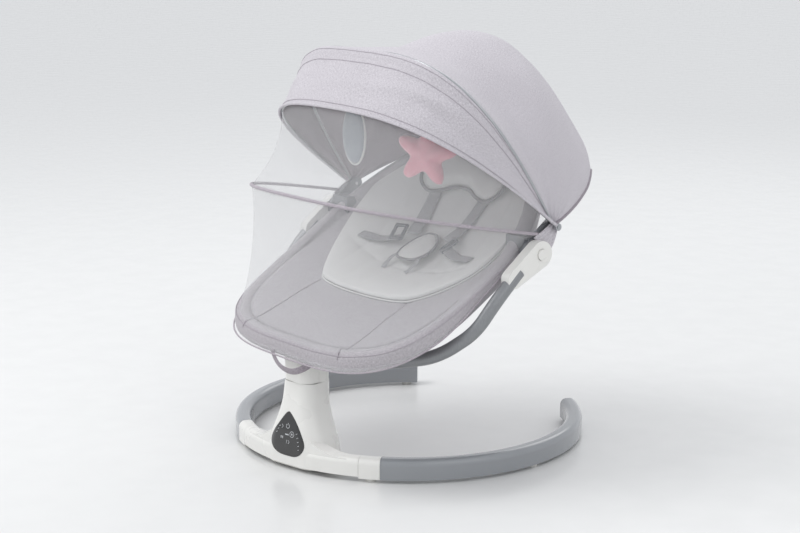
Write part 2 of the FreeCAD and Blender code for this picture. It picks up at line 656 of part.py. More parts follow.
def pad_ring(scale, half_width, spots, lift, powers):
    """A closed curve of a pad that lies on the sling."""
    points = []
    for number in range(RING_COUNT):
        t = 2 * math.pi * number / RING_COUNT
        x, y = power_point(t, half_width, spots[0], spots[1], spots[2], powers[0], powers[1])
        x = scale * x
        y = spots[1] + scale * (y - spots[1])
        points.append(V(x, y, sling_z(x, y) + lift))
    return points


def flat_end(points):
    """The same small ring made level, so that it can be capped."""
    height = sum(point.z for point in points) / len(points)
    return [V(point.x, point.y, height) for point in points]


def strips(rings):
    """A solid whose skin runs from ring to ring."""
    return Part.makeLoft([ring_wire(points) for points in rings], True, True)


def make_seat():
    """The seat's tube hoop, its cover, its liner and its pillow."""
    half = SLING_THICKNESS / 2.0
    centre_drop = TUBE_DROP
    inner = TUBE_RADIUS + TUBE_CHANNEL
    outer = inner + FABRIC
    rings = [flat_end(sling_ring(0.02, -half))]
    for scale in (0.15, 0.3, 0.45, 0.6, 0.72, 0.82, 0.88):
        rings.append(sling_ring(scale, -half))
    for degrees in (180.0, 135.0, 90.0, 45.0, 0.0):
        angle = math.radians(degrees)
        rings.append(seat_ring(TUBE_INSET - inner * math.cos(angle), centre_drop - inner * math.sin(angle)))
    rings.append(seat_ring(TUBE_INSET - inner, centre_drop + HEM_DROP))
    rings.append(seat_ring(TUBE_INSET - outer, centre_drop + HEM_DROP))
    for degrees in (0.0, 45.0, 90.0, 135.0):
        angle = math.radians(degrees)
        rings.append(seat_ring(TUBE_INSET - outer * math.cos(angle), centre_drop - outer * math.sin(angle)))
    for scale in (0.88, 0.82, 0.72, 0.6, 0.45, 0.3, 0.15):
        rings.append(sling_ring(scale, half))
    rings.append(flat_end(sling_ring(0.02, half)))
    cover = strips(rings)
    lug = lug_block(0.8)
    cover = cover.cut(lug).cut(lug.mirror(V(0, 0, 0), V(1, 0, 0)))
    save_on_seat(cover, "seat_cover")
    powers = (3.0, 2.4)
    base = half + PAD_GAP
    shape = ((0.02, 0.0), (0.15, 0.0), (0.3, 0.0), (0.5, 0.0), (0.65, 0.0), (0.8, 0.0), (0.94, 0.0),
             (1.0, 0.35), (0.985, 0.75), (0.93, 1.0), (0.76, 1.0), (0.55, 1.0), (0.3, 1.0), (0.02, 1.0))
    rings = [pad_ring(scale, LINER_HALF_WIDTH, LINER_Y, base + lift * LINER_THICKNESS, powers)
             for scale, lift in shape]
    rings[0] = flat_end(rings[0])
    rings[-1] = flat_end(rings[-1])
    save_on_seat(strips(rings), "seat_liner")
    base = half + PAD_GAP + LINER_THICKNESS + PAD_GAP
    shape = ((0.02, 0.0), (0.8, 0.05), (1.0, 0.35), (0.92, 0.72), (0.7, 0.94), (0.02, 1.0))
    rings = [pad_ring(scale, PILLOW_HALF_WIDTH, PILLOW_Y, base + lift * PILLOW_THICKNESS, (2.6, 2.4))
             for scale, lift in shape]
    rings[0] = flat_end(rings[0])
    rings[-1] = flat_end(rings[-1])
    save_on_seat(strips(rings), "head_pillow")
    head, foot = tube_paths()
    save_on_seat(pipe(head, TUBE_RADIUS, TUBE_BORE), "head_tube")
    save_on_seat(pipe(foot, TUBE_RADIUS, TUBE_BORE), "foot_tube")


def tube_paths():
    """The hoop's two halves, from hub to hub round the head end and round the foot end."""
    points = []
    count = 56
    for number in range(count):
        t = 2 * math.pi * number / count
        x, y = rim_point(t, TUBE_INSET)
        points.append(V(x, y, rim_z(y) - TUBE_DROP))
    split = RECLINE_Y - 4.0
    head = [point for point in points if point.y > split + 12]
    head.sort(key=lambda point: math.atan2(point.y - split, point.x))
    foot = [point for point in points if point.y < split - 12]
    foot.sort(key=lambda point: math.atan2(split - point.y, point.x))
    ends = []
    for gap in (1.0, -1.0):
        y = split + gap
        share = (y - SEAT_WIDEST_Y) / (SEAT_HEAD_Y - TUBE_INSET - SEAT_WIDEST_Y)
        x = (SEAT_HALF_WIDTH - TUBE_INSET) * (1 - share ** HEAD_POWER) ** (1 / HEAD_POWER)
        ends.append((V(x, y, rim_z(y) - TUBE_DROP), V(-x, y, rim_z(y) - TUBE_DROP)))
    return [ends[0][0]] + head + [ends[0][1]], [ends[1][0]] + foot + [ends[1][1]]


def lug_block(gap):
    """The block of the left hub that grips the hoop's tube ends."""
    top = rim_z(RECLINE_Y) - TUBE_DROP + TUBE_RADIUS + 4
    return block(SEAT_HALF_WIDTH - TUBE_INSET - TUBE_RADIUS - 16 - gap, HUB_IN + 1 + gap,
                 RECLINE_Y - 16 - gap, RECLINE_Y + 16 + gap, top - 30 - gap, top + gap)


def strap(points, width, lift):
    """A webbing strap laid on the liner along a chain of points, each x, y and extra height."""
    wires = []
    for number, (x, y, rise) in enumerate(points):
        before = points[max(0, number - 1)]
        after = points[min(len(points) - 1, number + 1)]
        along = V(after[0] - before[0], after[1] - before[1], 0)
        along.normalize()
        side = V(-along.y, along.x, 0) * (width / 2.0)
        corners = []
        for sign, height in ((-1, 0), (1, 0), (1, STRAP_THICKNESS), (-1, STRAP_THICKNESS)):
            px = x + sign * side.x
            py = y + sign * side.y
            corners.append(V(px, py, sling_z(px, py) + lift + rise + height))
        corners.append(corners[0])
        wires.append(Part.makePolygon(corners))
    return Part.makeLoft(wires, True, True)


def make_harness():
    """Shoulder, waist and crotch straps, the crotch pad and the buckles."""
    top = SLING_THICKNESS / 2.0 + PAD_GAP + LINER_THICKNESS + PAD_GAP
    shoulder = [(46, 296, 3), (46, 285, 2), (44, 272, 6), (41, 262, 10)]
    save_both(strap(shoulder, 30.0, top), "shoulder_straps", save_on_seat)
    waist = [(150, 226, 1), (118, 228, 2), (88, 232, 6), (66, 238, 10)]
    save_both(strap(waist, 20.0, top), "waist_straps", save_on_seat)
    crotch = [(16, 160, 1), (18, 176, 6), (16, 192, 9), (13, 204, 9)]
    save_both(strap(crotch, 12.0, top), "crotch_straps", save_on_seat)
    shape = ((0.02, 0.0), (0.9, 0.1), (1.0, 0.5), (0.9, 0.9), (0.02, 1.0))
    rings = [pad_ring(scale, CROTCH_PAD_HALF_WIDTH, CROTCH_PAD_Y, top + 3 + lift * CROTCH_PAD_THICKNESS,
                      (2.6, 2.6)) for scale, lift in shape]
    rings[0] = flat_end(rings[0])
    rings[-1] = flat_end(rings[-1])
    save_on_seat(strips(rings), "crotch_pad")
    x = 46.0
    y = 249.0
    z = sling_z(x, y) + top + 9
    frame = block(x - 14, x + 14, y - 9, y + 9, z, z + 6)
    frame = frame.cut(block(x - 9, x + 9, y - 5, y + 5, z - 1, z + 7))
    frame.rotate(V(x, y, z), V(1, 0, 0), 30)
    save_both(frame, "harness_buckles", save_on_seat)


# ---- recline hubs ----
def hull_plate(first, second, first_radius, second_radius, x_low, x_high):
    """A plate across X round two points given as (y, z)."""
    one = rod(first_radius, V(x_low, first[0], first[1]), V(x_high, first[0], first[1]))
    two = rod(second_radius, V(x_low, second[0], second[1]), V(x_high, second[0], second[1]))
    dy = second[0] - first[0]
    dz = second[1] - first[1]
    length = math.hypot(dy, dz)
    lean = math.acos((first_radius - second_radius) / length)
    heading = math.atan2(dz, dy)
    corners = []
    for centre, radius, sign in ((first, first_radius, 1), (second, second_radius, 1),
                                 (second, second_radius, -1), (first, first_radius, -1)):
        angle = heading + sign * lean
        corners.append(V(x_low, centre[0] + radius * math.cos(angle), centre[1] + radius * math.sin(angle)))
    corners.append(corners[0])
    web = Part.Face(Part.makePolygon(corners)).extrude(V(x_high - x_low, 0, 0))
    return one.fuse(web).fuse(two).removeSplitter()


def make_hubs():
    """Seat hubs, recline housings, hinge pins and recline buttons."""
    pivot = (RECLINE_Y, RECLINE_Z)
    hub_out = HUB_IN + HUB_THICKNESS
    hub = hull_plate(pivot, (CANOPY_Y, CANOPY_Z), HUB_RADIUS, BOSS_RADIUS, HUB_IN, hub_out)
    hub = hub.fuse(lug_block(0.0))
    head, foot = tube_paths()
    for path in (head, foot):
        hub = hub.cut(pipe(path, TUBE_RADIUS + 0.02))
    bore_in = V(HUB_IN - 6, RECLINE_Y, RECLINE_Z)
    hub = hub.cut(rod(RECLINE_PIN_RADIUS + SLIP, bore_in, V(hub_out + 2, RECLINE_Y, RECLINE_Z)))
    hub = hub.cut(rod(STUD_RADIUS + SLIP, V(HUB_IN - 2, CANOPY_Y, CANOPY_Z),
                      V(hub_out + 2, CANOPY_Y, CANOPY_Z)))
    save_pair(hub, "recline_hub", save_on_seat)
    low = hub_out + HOUSING_GAP
    high = low + HOUSING_THICKNESS
    housing = hull_plate(pivot, HOUSING_TAIL, HUB_RADIUS, HOUSING_TAIL_RADIUS, low, high)
    housing = housing.cut(pipe(arm_path(), ARM_TUBE_RADIUS))
    pocket_low = high - 8.0
    housing = housing.cut(rod(BUTTON_RADIUS + RUN, V(pocket_low, RECLINE_Y, RECLINE_Z),
                              V(high + 1, RECLINE_Y, RECLINE_Z)))
    pin = rod(RECLINE_PIN_RADIUS, V(HUB_IN - 3, RECLINE_Y, RECLINE_Z),
              V(pocket_low - 1, RECLINE_Y, RECLINE_Z))
    housing = housing.cut(pin)
    save_pair(housing, "recline_housing", save_on_seat)
    save_both(pin, "recline_pins", save_on_seat)
    button = rod(BUTTON_RADIUS, V(pocket_low + BUTTON_TRAVEL + RUN, RECLINE_Y, RECLINE_Z),
                 V(high + BUTTON_TRAVEL, RECLINE_Y, RECLINE_Z))
    save_pair(button, "recline_button", save_on_seat)


# ---- canopy and net ----
def bow_point(t, height, degrees, half_width, pivot, power):
    """A point on an arched bow that leans forward by an angle."""
    lean = math.radians(degrees)
    c = math.cos(t)
    x = half_width * math.copysign(abs(c) ** (2 / power), c)
    reach = height * max(0.0, math.sin(t)) ** (2 / power)
    return V(x, pivot[0] - reach * math.sin(lean), pivot[1] + reach * math.cos(lean))


def bow_wire(height, degrees, half_width, pivot, radius, power=BOW_POWER, start=0.0):
    """A round wire bow from side to side."""
    points = []
    for number in (start, 8, 15, 24, 33, 43, 55, 68, 81):
        points.append(bow_point(math.radians(number), height, degrees, half_width, pivot, power))
    mirrored = [V(-point.x, point.y, point.z) for point in reversed(points)]
    return pipe(points + mirrored, radius)


def footed_bow(height, degrees, half_width, pivot, radius, foot, power=BOW_POWER):
    """A wire bow with a straight stud at each foot, on the pivot axis."""
    wire = bow_wire(height, degrees, half_width, pivot, radius, power)
    for sign in (-1, 1):
        outer = V(sign * (half_width + radius), pivot[0], pivot[1])
        inner = V(sign * foot, pivot[0], pivot[1])
        wire = wire.fuse(rod(STUD_RADIUS, inner, outer))
    return wire


def cloth_panel(sections, pivot, thickness, half_width, ends):
    """A curved cloth panel as a thin closed solid, swept from one lean angle to the next."""
    wires = []
    count = 22
    for degrees, height, power in sections:
        rows = []
        for inset in (0.0, thickness):
            row = []
            for number in range(count + 1):
                t = math.radians(ends + (180.0 - 2 * ends) * number / count)
                row.append(bow_point(t, height - inset, degrees, half_width - inset, pivot, power))
            rows.append(row)
        outer = Part.BSplineCurve()
        outer.interpolate(Points=rows[0])
        inner = Part.BSplineCurve()
        inner.interpolate(Points=rows[1])
        edges = [outer.toShape(), Part.LineSegment(rows[0][-1], rows[1][-1]).toShape(),
                 inner.toShape(), Part.LineSegment(rows[1][0], rows[0][0]).toShape()]
        wires.append(Part.Wire(Part.__sortEdges__(edges)))
    return Part.makeLoft(wires, True, False)


def make_canopy():
    """Canopy bows and the two cloth panels that hang on them."""
    pivot = (CANOPY_Y, CANOPY_Z)
    foot = HUB_IN
    mid = footed_bow(MID_BOW_HEIGHT, MID_BOW_ANGLE, CANOPY_HALF_WIDTH + MID_BOW_OUT, pivot, BOW_RADIUS,
                     foot, MID_BOW_POWER)
    for sign in (-1, 1):
        mid = mid.fuse(rod(STUD_RADIUS, V(sign * foot, CANOPY_Y, CANOPY_Z),
                           V(sign * STUD_OUT, CANOPY_Y, CANOPY_Z)))
    save_on_seat(mid, "canopy_mid_bow")
    save_on_seat(cloth_panel(HOOD_SECTIONS, pivot, PANEL_CLOTH, CANOPY_HALF_WIDTH, HOOD_END),
                 "canopy_rear_panel")
    wire = footed_bow(FRONT_BOW_HEIGHT, FRONT_BOW_ANGLE, EYE_MIDDLE, pivot, BOW_RADIUS, EYE_MIDDLE)
    for sign in (-1, 1):
        low = V(sign * (EYE_MIDDLE - EYE_WIDTH / 2), pivot[0], pivot[1])
        high = V(sign * (EYE_MIDDLE + EYE_WIDTH / 2), pivot[0], pivot[1])
        wire = wire.fuse(rod(EYE_RADIUS, low, high))
    for sign in (-1, 1):
        low = V(sign * (EYE_MIDDLE - EYE_WIDTH), pivot[0], pivot[1])
        high = V(sign * (EYE_MIDDLE + EYE_WIDTH), pivot[0], pivot[1])
        wire = wire.cut(rod(STUD_RADIUS + SLIP, low, high))
    save_on_seat(wire, "canopy_front_bow")
    save_on_seat(cloth_panel(BRIM_SECTIONS, pivot, PANEL_CLOTH, EYE_MIDDLE, BRIM_END), "canopy_front_panel")


def row_edge(points):
    """A smooth open edge through a row of points."""
    curve = Part.BSplineCurve()
    curve.interpolate(Points=points)
    return curve.toShape()


def net_panel(first, second, steps):
    """A thin net between two rows of points, in a few straight steps."""
    outer = []
    inner = []
    pivot = V(0, NET_Y, NET_Z)
    for step in range(steps + 1):
        share = step / steps
        upper = [a * (1 - share) + b * share for a, b in zip(first, second)]
        lower = []
        for point in upper:
            inward = pivot.sub(point)
            inward.normalize()
            lower.append(point.add(inward * NET_CLOTH))
        outer.append(upper)
        inner.append(lower)
    faces = []
    for rows in (outer, inner):
        for upper, lower in zip(rows, rows[1:]):
            faces.append(Part.makeRuledSurface(row_edge(upper), row_edge(lower)))
    for number in (0, -1):
        faces.append(Part.makeRuledSurface(row_edge(outer[number]), row_edge(inner[number])))
    for number in (0, -1):
        for step in range(steps):
            near = Part.LineSegment(outer[step][number], outer[step + 1][number]).toShape()
            far = Part.LineSegment(inner[step][number], inner[step + 1][number]).toShape()
            faces.append(Part.makeRuledSurface(near, far))
    sewn = Part.makeCompound(faces)
    sewn.sewShape()
    solid = Part.Solid(Part.Shell(sewn.Faces))
    if solid.Volume < 0:
        solid.reverse()
    return solid


def make_net():
    """The net's wire bow and the two net panels above and below it."""
    pivot = (NET_Y, NET_Z)
    wire = bow_wire(NET_BOW_HEIGHT, NET_BOW_ANGLE, NET_HALF_WIDTH + NET_BOW_OUT, pivot, NET_BOW_RADIUS,
                    BOW_POWER, NET_BOW_START)
    save_on_seat(wire, "net_bow")
    steps = [math.radians(14.0 + 152.0 * number / 26) for number in range(27)]

    def edge(height, lean, half_width, middle):
        return [bow_point(t, height, lean, half_width, middle, BOW_POWER) for t in steps]

    brim = edge(FRONT_BOW_HEIGHT - 6, FRONT_BOW_ANGLE + 1.5, CANOPY_HALF_WIDTH - 2, (CANOPY_Y, CANOPY_Z))
    above = edge(NET_BOW_HEIGHT, NET_BOW_ANGLE - NET_SEAM, NET_HALF_WIDTH, pivot)
    below = edge(NET_BOW_HEIGHT, NET_BOW_ANGLE + NET_SEAM, NET_HALF_WIDTH, pivot)
    hem = []
    for t in steps:
        turn = math.radians(8.0) - (t - steps[0]) / (steps[-1] - steps[0]) * math.radians(196.0)
        x, y = rim_point(turn, -HEM_GAP)
        hem.append(V(x, y, rim_z(y) - TUBE_DROP))
    save_on_seat(net_panel(brim, above, 3), "net_upper")
    save_on_seat(net_panel(below, hem, 4), "net_lower")


def make_toys():
    """A plush star and a plush oval, each on its ribbon."""
    points = []
    for number in range(10):
        angle = math.radians(90.0 + 36.0 * number + STAR_LEAN)
        radius = STAR_RADIUS if number % 2 == 0 else STAR_WAIST
        points.append(V(TOY_X + radius * math.cos(angle), TOY_Y - STAR_THICKNESS / 2,
                        TOY_Z + radius * math.sin(angle)))
    star = Part.Face(ring_wire(points)).extrude(V(0, STAR_THICKNESS, 0))
    star.rotate(V(TOY_X, TOY_Y, TOY_Z), V(0, 0, 1), TOY_TURN)
    save_on_seat(star, "star_toy")
    points = []
    for number in range(16):
        angle = 2 * math.pi * number / 16
        points.append(V(-TOY_X + OVAL_WIDTH / 2 * math.cos(angle), TOY_Y - OVAL_THICKNESS / 2,
                        TOY_Z + 10 + OVAL_HEIGHT / 2 * math.sin(angle)))
    oval = Part.Face(ring_wire(points)).extrude(V(0, OVAL_THICKNESS, 0))
    save_on_seat(oval, "oval_toy")
    star_top = TOY_Z + STAR_RADIUS * math.cos(math.radians(STAR_LEAN)) + RUN
    oval_top = TOY_Z + 10 + OVAL_HEIGHT / 2 + RUN
    for x, low, name in ((TOY_X, star_top, "star_ribbon"), (-TOY_X, oval_top, "oval_ribbon")):
        ribbon = block(x - RIBBON_WIDTH / 2, x + RIBBON_WIDTH / 2, TOY_Y - RIBBON_THICKNESS / 2,
                       TOY_Y + RIBBON_THICKNESS / 2, low, TOY_HANG_Z)
        save_on_seat(ribbon, name)


make_tower()
make_base()
make_drive()
make_collar()
make_seat()
make_harness()
make_hubs()
make_canopy()
make_net()
make_toys()
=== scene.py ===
import math

import bmesh
import bpy
from mathutils import Matrix, Vector, noise


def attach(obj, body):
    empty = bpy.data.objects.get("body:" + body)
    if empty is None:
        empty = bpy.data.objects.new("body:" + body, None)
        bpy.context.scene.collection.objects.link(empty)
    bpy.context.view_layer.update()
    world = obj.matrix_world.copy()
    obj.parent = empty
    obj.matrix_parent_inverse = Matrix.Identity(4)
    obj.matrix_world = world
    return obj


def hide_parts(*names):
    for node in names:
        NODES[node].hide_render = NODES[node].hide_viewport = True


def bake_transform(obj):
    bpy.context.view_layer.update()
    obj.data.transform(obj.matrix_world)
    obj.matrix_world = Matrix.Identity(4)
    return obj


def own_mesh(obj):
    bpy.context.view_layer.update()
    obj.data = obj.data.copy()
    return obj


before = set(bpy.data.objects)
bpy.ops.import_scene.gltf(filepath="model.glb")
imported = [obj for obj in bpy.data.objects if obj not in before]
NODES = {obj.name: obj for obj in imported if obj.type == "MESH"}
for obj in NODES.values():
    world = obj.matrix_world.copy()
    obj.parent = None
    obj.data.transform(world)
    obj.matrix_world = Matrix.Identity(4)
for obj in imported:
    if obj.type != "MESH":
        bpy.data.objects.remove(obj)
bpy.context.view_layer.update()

bl_info = {
    "name": "Baby swing",
    "version": (1, 0, 0),
    "blender": (4, 5, 0),
    "location": "View3D > Sidebar > Baby Swing",
    "description": "Dresses the packed baby swing: canopy, net, seat, harness, toys and finishes",
    "category": "Add Mesh",
}

WAVE_PERIOD = 0.314        # of a wave texture, over its scale
MM = 0.001

# The seat's own frame is centred over the swing axis; everything on it is turned to its resting place.
REST_TURN = math.radians(-10.0)
SEAT_TURN = Matrix.Rotation(REST_TURN, 3, "Z")
CANOPY_PIVOT = (300.0, 408.0)
NET_PIVOT = (300.0, 392.0)
RIM_HALF = 253.0
RIM_FOOT = -45.0
RIM_WIDEST = 190.0
RIM_HEAD = 414.0
HOOP_INSET = 14.5
HOOP_DROP = 10.0
HOOP_SLEEVE = 14.0         # radius of the cloth wrapped round the hoop
FOOT_POWER = 3.5           # squareness of the seat's outline at the foot and at the head
HEAD_POWER = 2.2
FOOT_SAG = 12.0            # depth of the cloth between the rims at the foot
BACK_SAG = 95.0            # and under the back
SAG_START = 60.0
SAG_LENGTH = 270.0
LINER_GAP = 3.4            # cover to liner
SEAM_START = (118.0, 125.0)  # the liner's corner, where each long seam of the cover begins
SEAM_SPLAY = 0.10
HOOD_FRONT = 32.6          # leans of the bows in degrees: where the hood and the brim begin and end
BRIM_BACK = 32.4
BRIM_FRONT = 53.3
NET_BOW_HEIGHT = 333.0
NET_BOW_LEAN = 79.0
BOW_POWER = 2.8
TOY_X = 98.0
TOY_Y = 175.0
TOY_HANG_Z = 664.0
STAR_Z = 517.0
OVAL_Z = 527.0
COLUMNS = 140              # points along each row of the canopy, an even number
HINGE_REACH = 6.0          # where the gathered cloth ends beside the hinge
# lean forward of upright in degrees, height over the pivot axis, half width, squareness of the arch
HOOD_ROWS = (
    (32.6, 326.0, 268.0, 3.2),
    (31.0, 322.0, 268.0, 3.1),
    (25.0, 304.0, 268.0, 2.35),
    (15.0, 285.0, 268.0, 1.85),
    (0.0, 292.0, 268.0, 1.75),
    (-15.0, 300.0, 268.0, 1.76),
    (-30.0, 282.0, 268.0, 1.76),
    (-45.0, 264.0, 268.0, 1.82),
    (-60.0, 255.0, 268.0, 1.95),
    (-80.0, 240.0, 268.0, 1.9),
    (-100.0, 226.0, 268.0, 1.9),
)
BRIM_ROWS = (
    (32.4, 326.0, 268.5, 3.2),
    (33.2, 331.5, 270.0, 3.2),
    (35.2, 331.0, 271.0, 3.2),
    (35.9, 328.5, 271.0, 3.15),
    (41.0, 321.0, 274.0, 3.05),
    (47.0, 315.0, 278.0, 2.9),
    (51.5, 311.5, 281.0, 2.8),
    (53.3, 310.5, 282.0, 2.8),
)


class SwingLook(bpy.types.PropertyGroup):
    """Sizes and colours of the dressed swing."""

    cloth_thickness: bpy.props.FloatProperty(
        name="Cloth thickness", description="Thickness of the woven cloth", default=0.0014, unit="LENGTH")
    net_thickness: bpy.props.FloatProperty(
        name="Net thickness", description="Thickness of the net", default=0.0004, unit="LENGTH")
    piping_radius: bpy.props.FloatProperty(
        name="Piping radius", description="Radius of the sewn piping", default=0.0022, unit="LENGTH")
    liner_height: bpy.props.FloatProperty(
        name="Liner height", description="Height of the padded liner", default=0.013, unit="LENGTH")
    camera_lens: bpy.props.FloatProperty(
        name="Lens", description="Focal length of the camera", default=83.3, unit="CAMERA")
    canopy_light: bpy.props.StringProperty(
        name="Canopy light thread", description="Colour of the canopy's light threads", default="#DEDADF")
    canopy_dark: bpy.props.StringProperty(
        name="Canopy dark thread", description="Colour of the canopy's dark threads", default="#B4AFB5")
    # the seat's thread colours are the canopy canvas darkened with painted shade
    seat_light_with_shade: bpy.props.StringProperty(
        name="Seat light thread", description="Colour of the seat's light threads", default="#C9C5C9")
    seat_dark_with_shade: bpy.props.StringProperty(
        name="Seat dark thread", description="Colour of the seat's dark threads", default="#A39EA3")
    liner_colour: bpy.props.StringProperty(
        name="Liner", description="Colour of the padded liner", default="#EEEEEC")
    shell_colour: bpy.props.StringProperty(
        name="Shell", description="Colour of the white plastic shells", default="#EFEEEA")
    arm_colour: bpy.props.StringProperty(
        name="Floor arm", description="Colour of the grey floor arms", default="#93969A")
    star_colour: bpy.props.StringProperty(
        name="Star", description="Colour of the plush star", default="#F5A9B6")


def look():
    """The sizes and colours that the panel shows."""
    return bpy.context.scene.swing_look


# ---- small maths ----
def on_seat(x, y, z):
    """A point of the centred seat, in millimetres, at its resting place in metres."""
    return SEAT_TURN @ Vector((x * MM, y * MM, z * MM))


def ease(value):
    """A smooth step from 0 to 1."""
    value = min(1.0, max(0.0, value))
    return value * value * (3.0 - 2.0 * value)


def hill(value, middle, width):
    """A smooth bump of height 1."""
    return math.exp(-((value - middle) / width) ** 2)


def ruffle(point, size, seed=0.0):
    """Smooth unevenness between -1 and 1, over features of a size in millimetres."""
    place = Vector((point[0] / size + seed, point[1] / size - seed, point[2] / size))
    return noise.noise(place)


def between(rows, value):
    """The row of a table at a value of its first column, joined smoothly."""
    rows = sorted(rows)
    if value <= rows[0][0]:
        return rows[0][1:]
    for low, high in zip(rows, rows[1:]):
        if value <= high[0]:
            share = (value - low[0]) / (high[0] - low[0])
            number = rows.index(low)
            before = rows[max(0, number - 1)]
            after = rows[min(len(rows) - 1, number + 2)]
            width = high[0] - low[0]
            square = share * share
            cube = square * share
            result = []
            for column in range(1, len(low)):
                slope_low = (high[column] - before[column]) / (high[0] - before[0]) * width
                slope_high = (after[column] - low[column]) / (after[0] - low[0]) * width
                result.append((2 * cube - 3 * square + 1) * low[column]
                              + (cube - 2 * square + share) * slope_low
                              + (3 * square - 2 * cube) * high[column]
                              + (cube - square) * slope_high)
            return tuple(result)
    return rows[-1][1:]


def arch(t, height, lean, half_width, power, pivot):
    """A point on an arched bow over the seat that leans forward by an angle in degrees."""
    side = math.cos(t)
    x = half_width * math.copysign(abs(side) ** (2.0 / power), side)
    reach = height * max(0.0, math.sin(t)) ** (2.0 / power)
    angle = math.radians(lean)
    return x, pivot[0] - reach * math.sin(angle), pivot[1] + reach * math.cos(angle)


def rim_z(y):
    """Height of the seat's rim at a place along the seat."""
    return 232.0 + 0.434 * y + 0.00067 * y * y


def rim_power(y):
    """Squareness of the seat's outline, and its reach from the widest place."""
    if y >= RIM_WIDEST:
        return HEAD_POWER, RIM_HEAD - RIM_WIDEST
    return FOOT_POWER, RIM_WIDEST - RIM_FOOT


def rim_point(t, inset):
    """A place on the seat's outline, moved inwards."""
    c = math.cos(t)
    s = math.sin(t)
    power, length = rim_power(RIM_HEAD if s >= 0 else RIM_FOOT)
    reach = length - inset
    x = (RIM_HALF - inset) * math.copysign(abs(c) ** (2.0 / power), c)
    return x, RIM_WIDEST + reach * math.copysign(abs(s) ** (2.0 / power), s)


def sling_z(x, y):
    """Height of the seat's cloth between the rims: almost flat at the foot and deep under the back."""
    power, reach = rim_power(y)
    total = abs(x / RIM_HALF) ** power + abs((y - RIM_WIDEST) / reach) ** power
    share = min(1.0, total ** (1.0 / power))
    sag = FOOT_SAG + (BACK_SAG - FOOT_SAG) * ease((y - SAG_START) / SAG_LENGTH)
    return rim_z(y) - sag * (1.0 - share ** 2)


# ---- mesh building ----
def new_object(name, points, faces, uvs, materials, inside=None):
    """A mesh object at the origin, with its faces turned away from a point inside."""
    mesh = bpy.data.meshes.new(name)
    mesh.from_pydata([tuple(point) for point in points], [], faces)
    layer = mesh.uv_layers.new(name="Cloth")
    for loop in mesh.loops:
        layer.data[loop.index].uv = uvs[loop.vertex_index]
    mesh.update()
    if inside is not None:
        outward = sum((face.normal.dot(face.center - inside) * face.area for face in mesh.polygons), 0.0)
        if outward < 0:
            mesh.flip_normals()
    for item in materials:
        mesh.materials.append(item)
    made = bpy.data.objects.new(name, mesh)
    shade_smooth(made)
    bpy.context.scene.collection.objects.link(made)
    return made


def only(made, others=()):
    """Select one object, and any others with it, and make it active."""
    bpy.ops.object.select_all(action="DESELECT")
    for item in others:
        item.select_set(True)
    bpy.context.view_layer.objects.active = made
    made.select_set(True)


def join(pieces, name):
    """Make several objects into the first of them."""
    only(pieces[0], pieces[1:])
    bpy.ops.object.join()
    pieces[0].name = name
    return pieces[0]


def shade_smooth(made):
    """Light every face as part of a curved surface."""
    for face in made.data.polygons:
        face.use_smooth = True


def dress(made, body=None, node=None):
    """Hide the node a piece stands for, and give the piece the body it moves with."""
    if node:
        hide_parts(node)
    if body:
        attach(made, body)
    return made


def apply_all(made):
    """Apply every modifier."""
    only(made)
    for item in list(made.modifiers):
        bpy.ops.object.modifier_apply(modifier=item.name)
    return made


def row_faces(rows, count, closed=True):
    """The four-sided faces between rows of points, which may close on themselves."""
    faces = []
    for i in range(rows - 1):
        for j in range(count if closed else count - 1):
            k = (j + 1) % count
            faces.append((i * count + j, i * count + k, (i + 1) * count + k, (i + 1) * count + j))
    return faces


def sheet_grid(name, rows, materials, thickness, inside, closed=False):
    """A sheet of cloth through rows of points, with a UV map in metres and a real thickness."""
    points = [point for row in rows for point in row]
    count = len(rows[0])
    faces = row_faces(len(rows), count, closed)
    uvs = []
    middle = count // 2
    along = 0.0
    for i, row in enumerate(rows):
        if i:
            along += (row[middle] - rows[i - 1][middle]).length
        across = [0.0]
        for a, b in zip(row, row[1:]):
            across.append(across[-1] + (b - a).length)
        uvs.extend((value - across[middle], along) for value in across)
    made = new_object(name, points, faces, uvs, materials, inside)
    wall = made.modifiers.new("Wall", "SOLIDIFY")
    wall.thickness = thickness
    wall.offset = -1.0
    if len(materials) > 1:
        wall.material_offset = 1
    return apply_all(made)


def tube(name, path, radius, materials, sides=8, closed=False, flat=1.0, up=None, taper=None):
    """A round or flattened tube along points, closed at its ends, with a UV map in metres."""
    points = []
    uvs = []
    count = len(path)
    travelled = 0.0
    side = None
    for i, place in enumerate(path):
        before = path[i - 1] if (i or closed) else path[i]
        after = path[(i + 1) % count] if (i < count - 1 or closed) else path[i]
        ahead = (after - before).normalized()
        if up is not None:
            side = ahead.cross(up).normalized()
        elif side is None:
            side = ahead.orthogonal().normalized()
        else:
            side = (side - ahead * side.dot(ahead)).normalized()
        over = side.cross(ahead).normalized()
        if i:
            travelled += (place - path[i - 1]).length
        size = radius * (taper[i] if taper else 1.0)
        for j in range(sides):
            angle = 2.0 * math.pi * j / sides
            points.append(place + side * (size * math.cos(angle))
                          + over * (size * flat * math.sin(angle)))
            uvs.append((radius * angle, travelled))
    faces = []
    for i in range(count if closed else count - 1):
        for j in range(sides):
            k = (j + 1) % sides
            n = (i + 1) % count
            faces.append((i * sides + j, i * sides + k, n * sides + k, n * sides + j))
    if not closed:
        faces.append(tuple(range(sides))[::-1])
        faces.append(tuple((count - 1) * sides + j for j in range(sides)))
    made = new_object(name, points, faces, uvs, materials)
    only(made)
    bpy.ops.object.mode_set(mode="EDIT")
    bpy.ops.mesh.select_all(action="SELECT")
    bpy.ops.mesh.normals_make_consistent(inside=False)
    bpy.ops.object.mode_set(mode="OBJECT")
    return made


def smooth_outline(shape, steps):
    """A closed smooth outline of (x, y) through a few places."""
    chain = smooth_path([Vector((x, y, 0.0)) for x, y in shape], steps, True)
    return [(place.x, place.y) for place in chain]


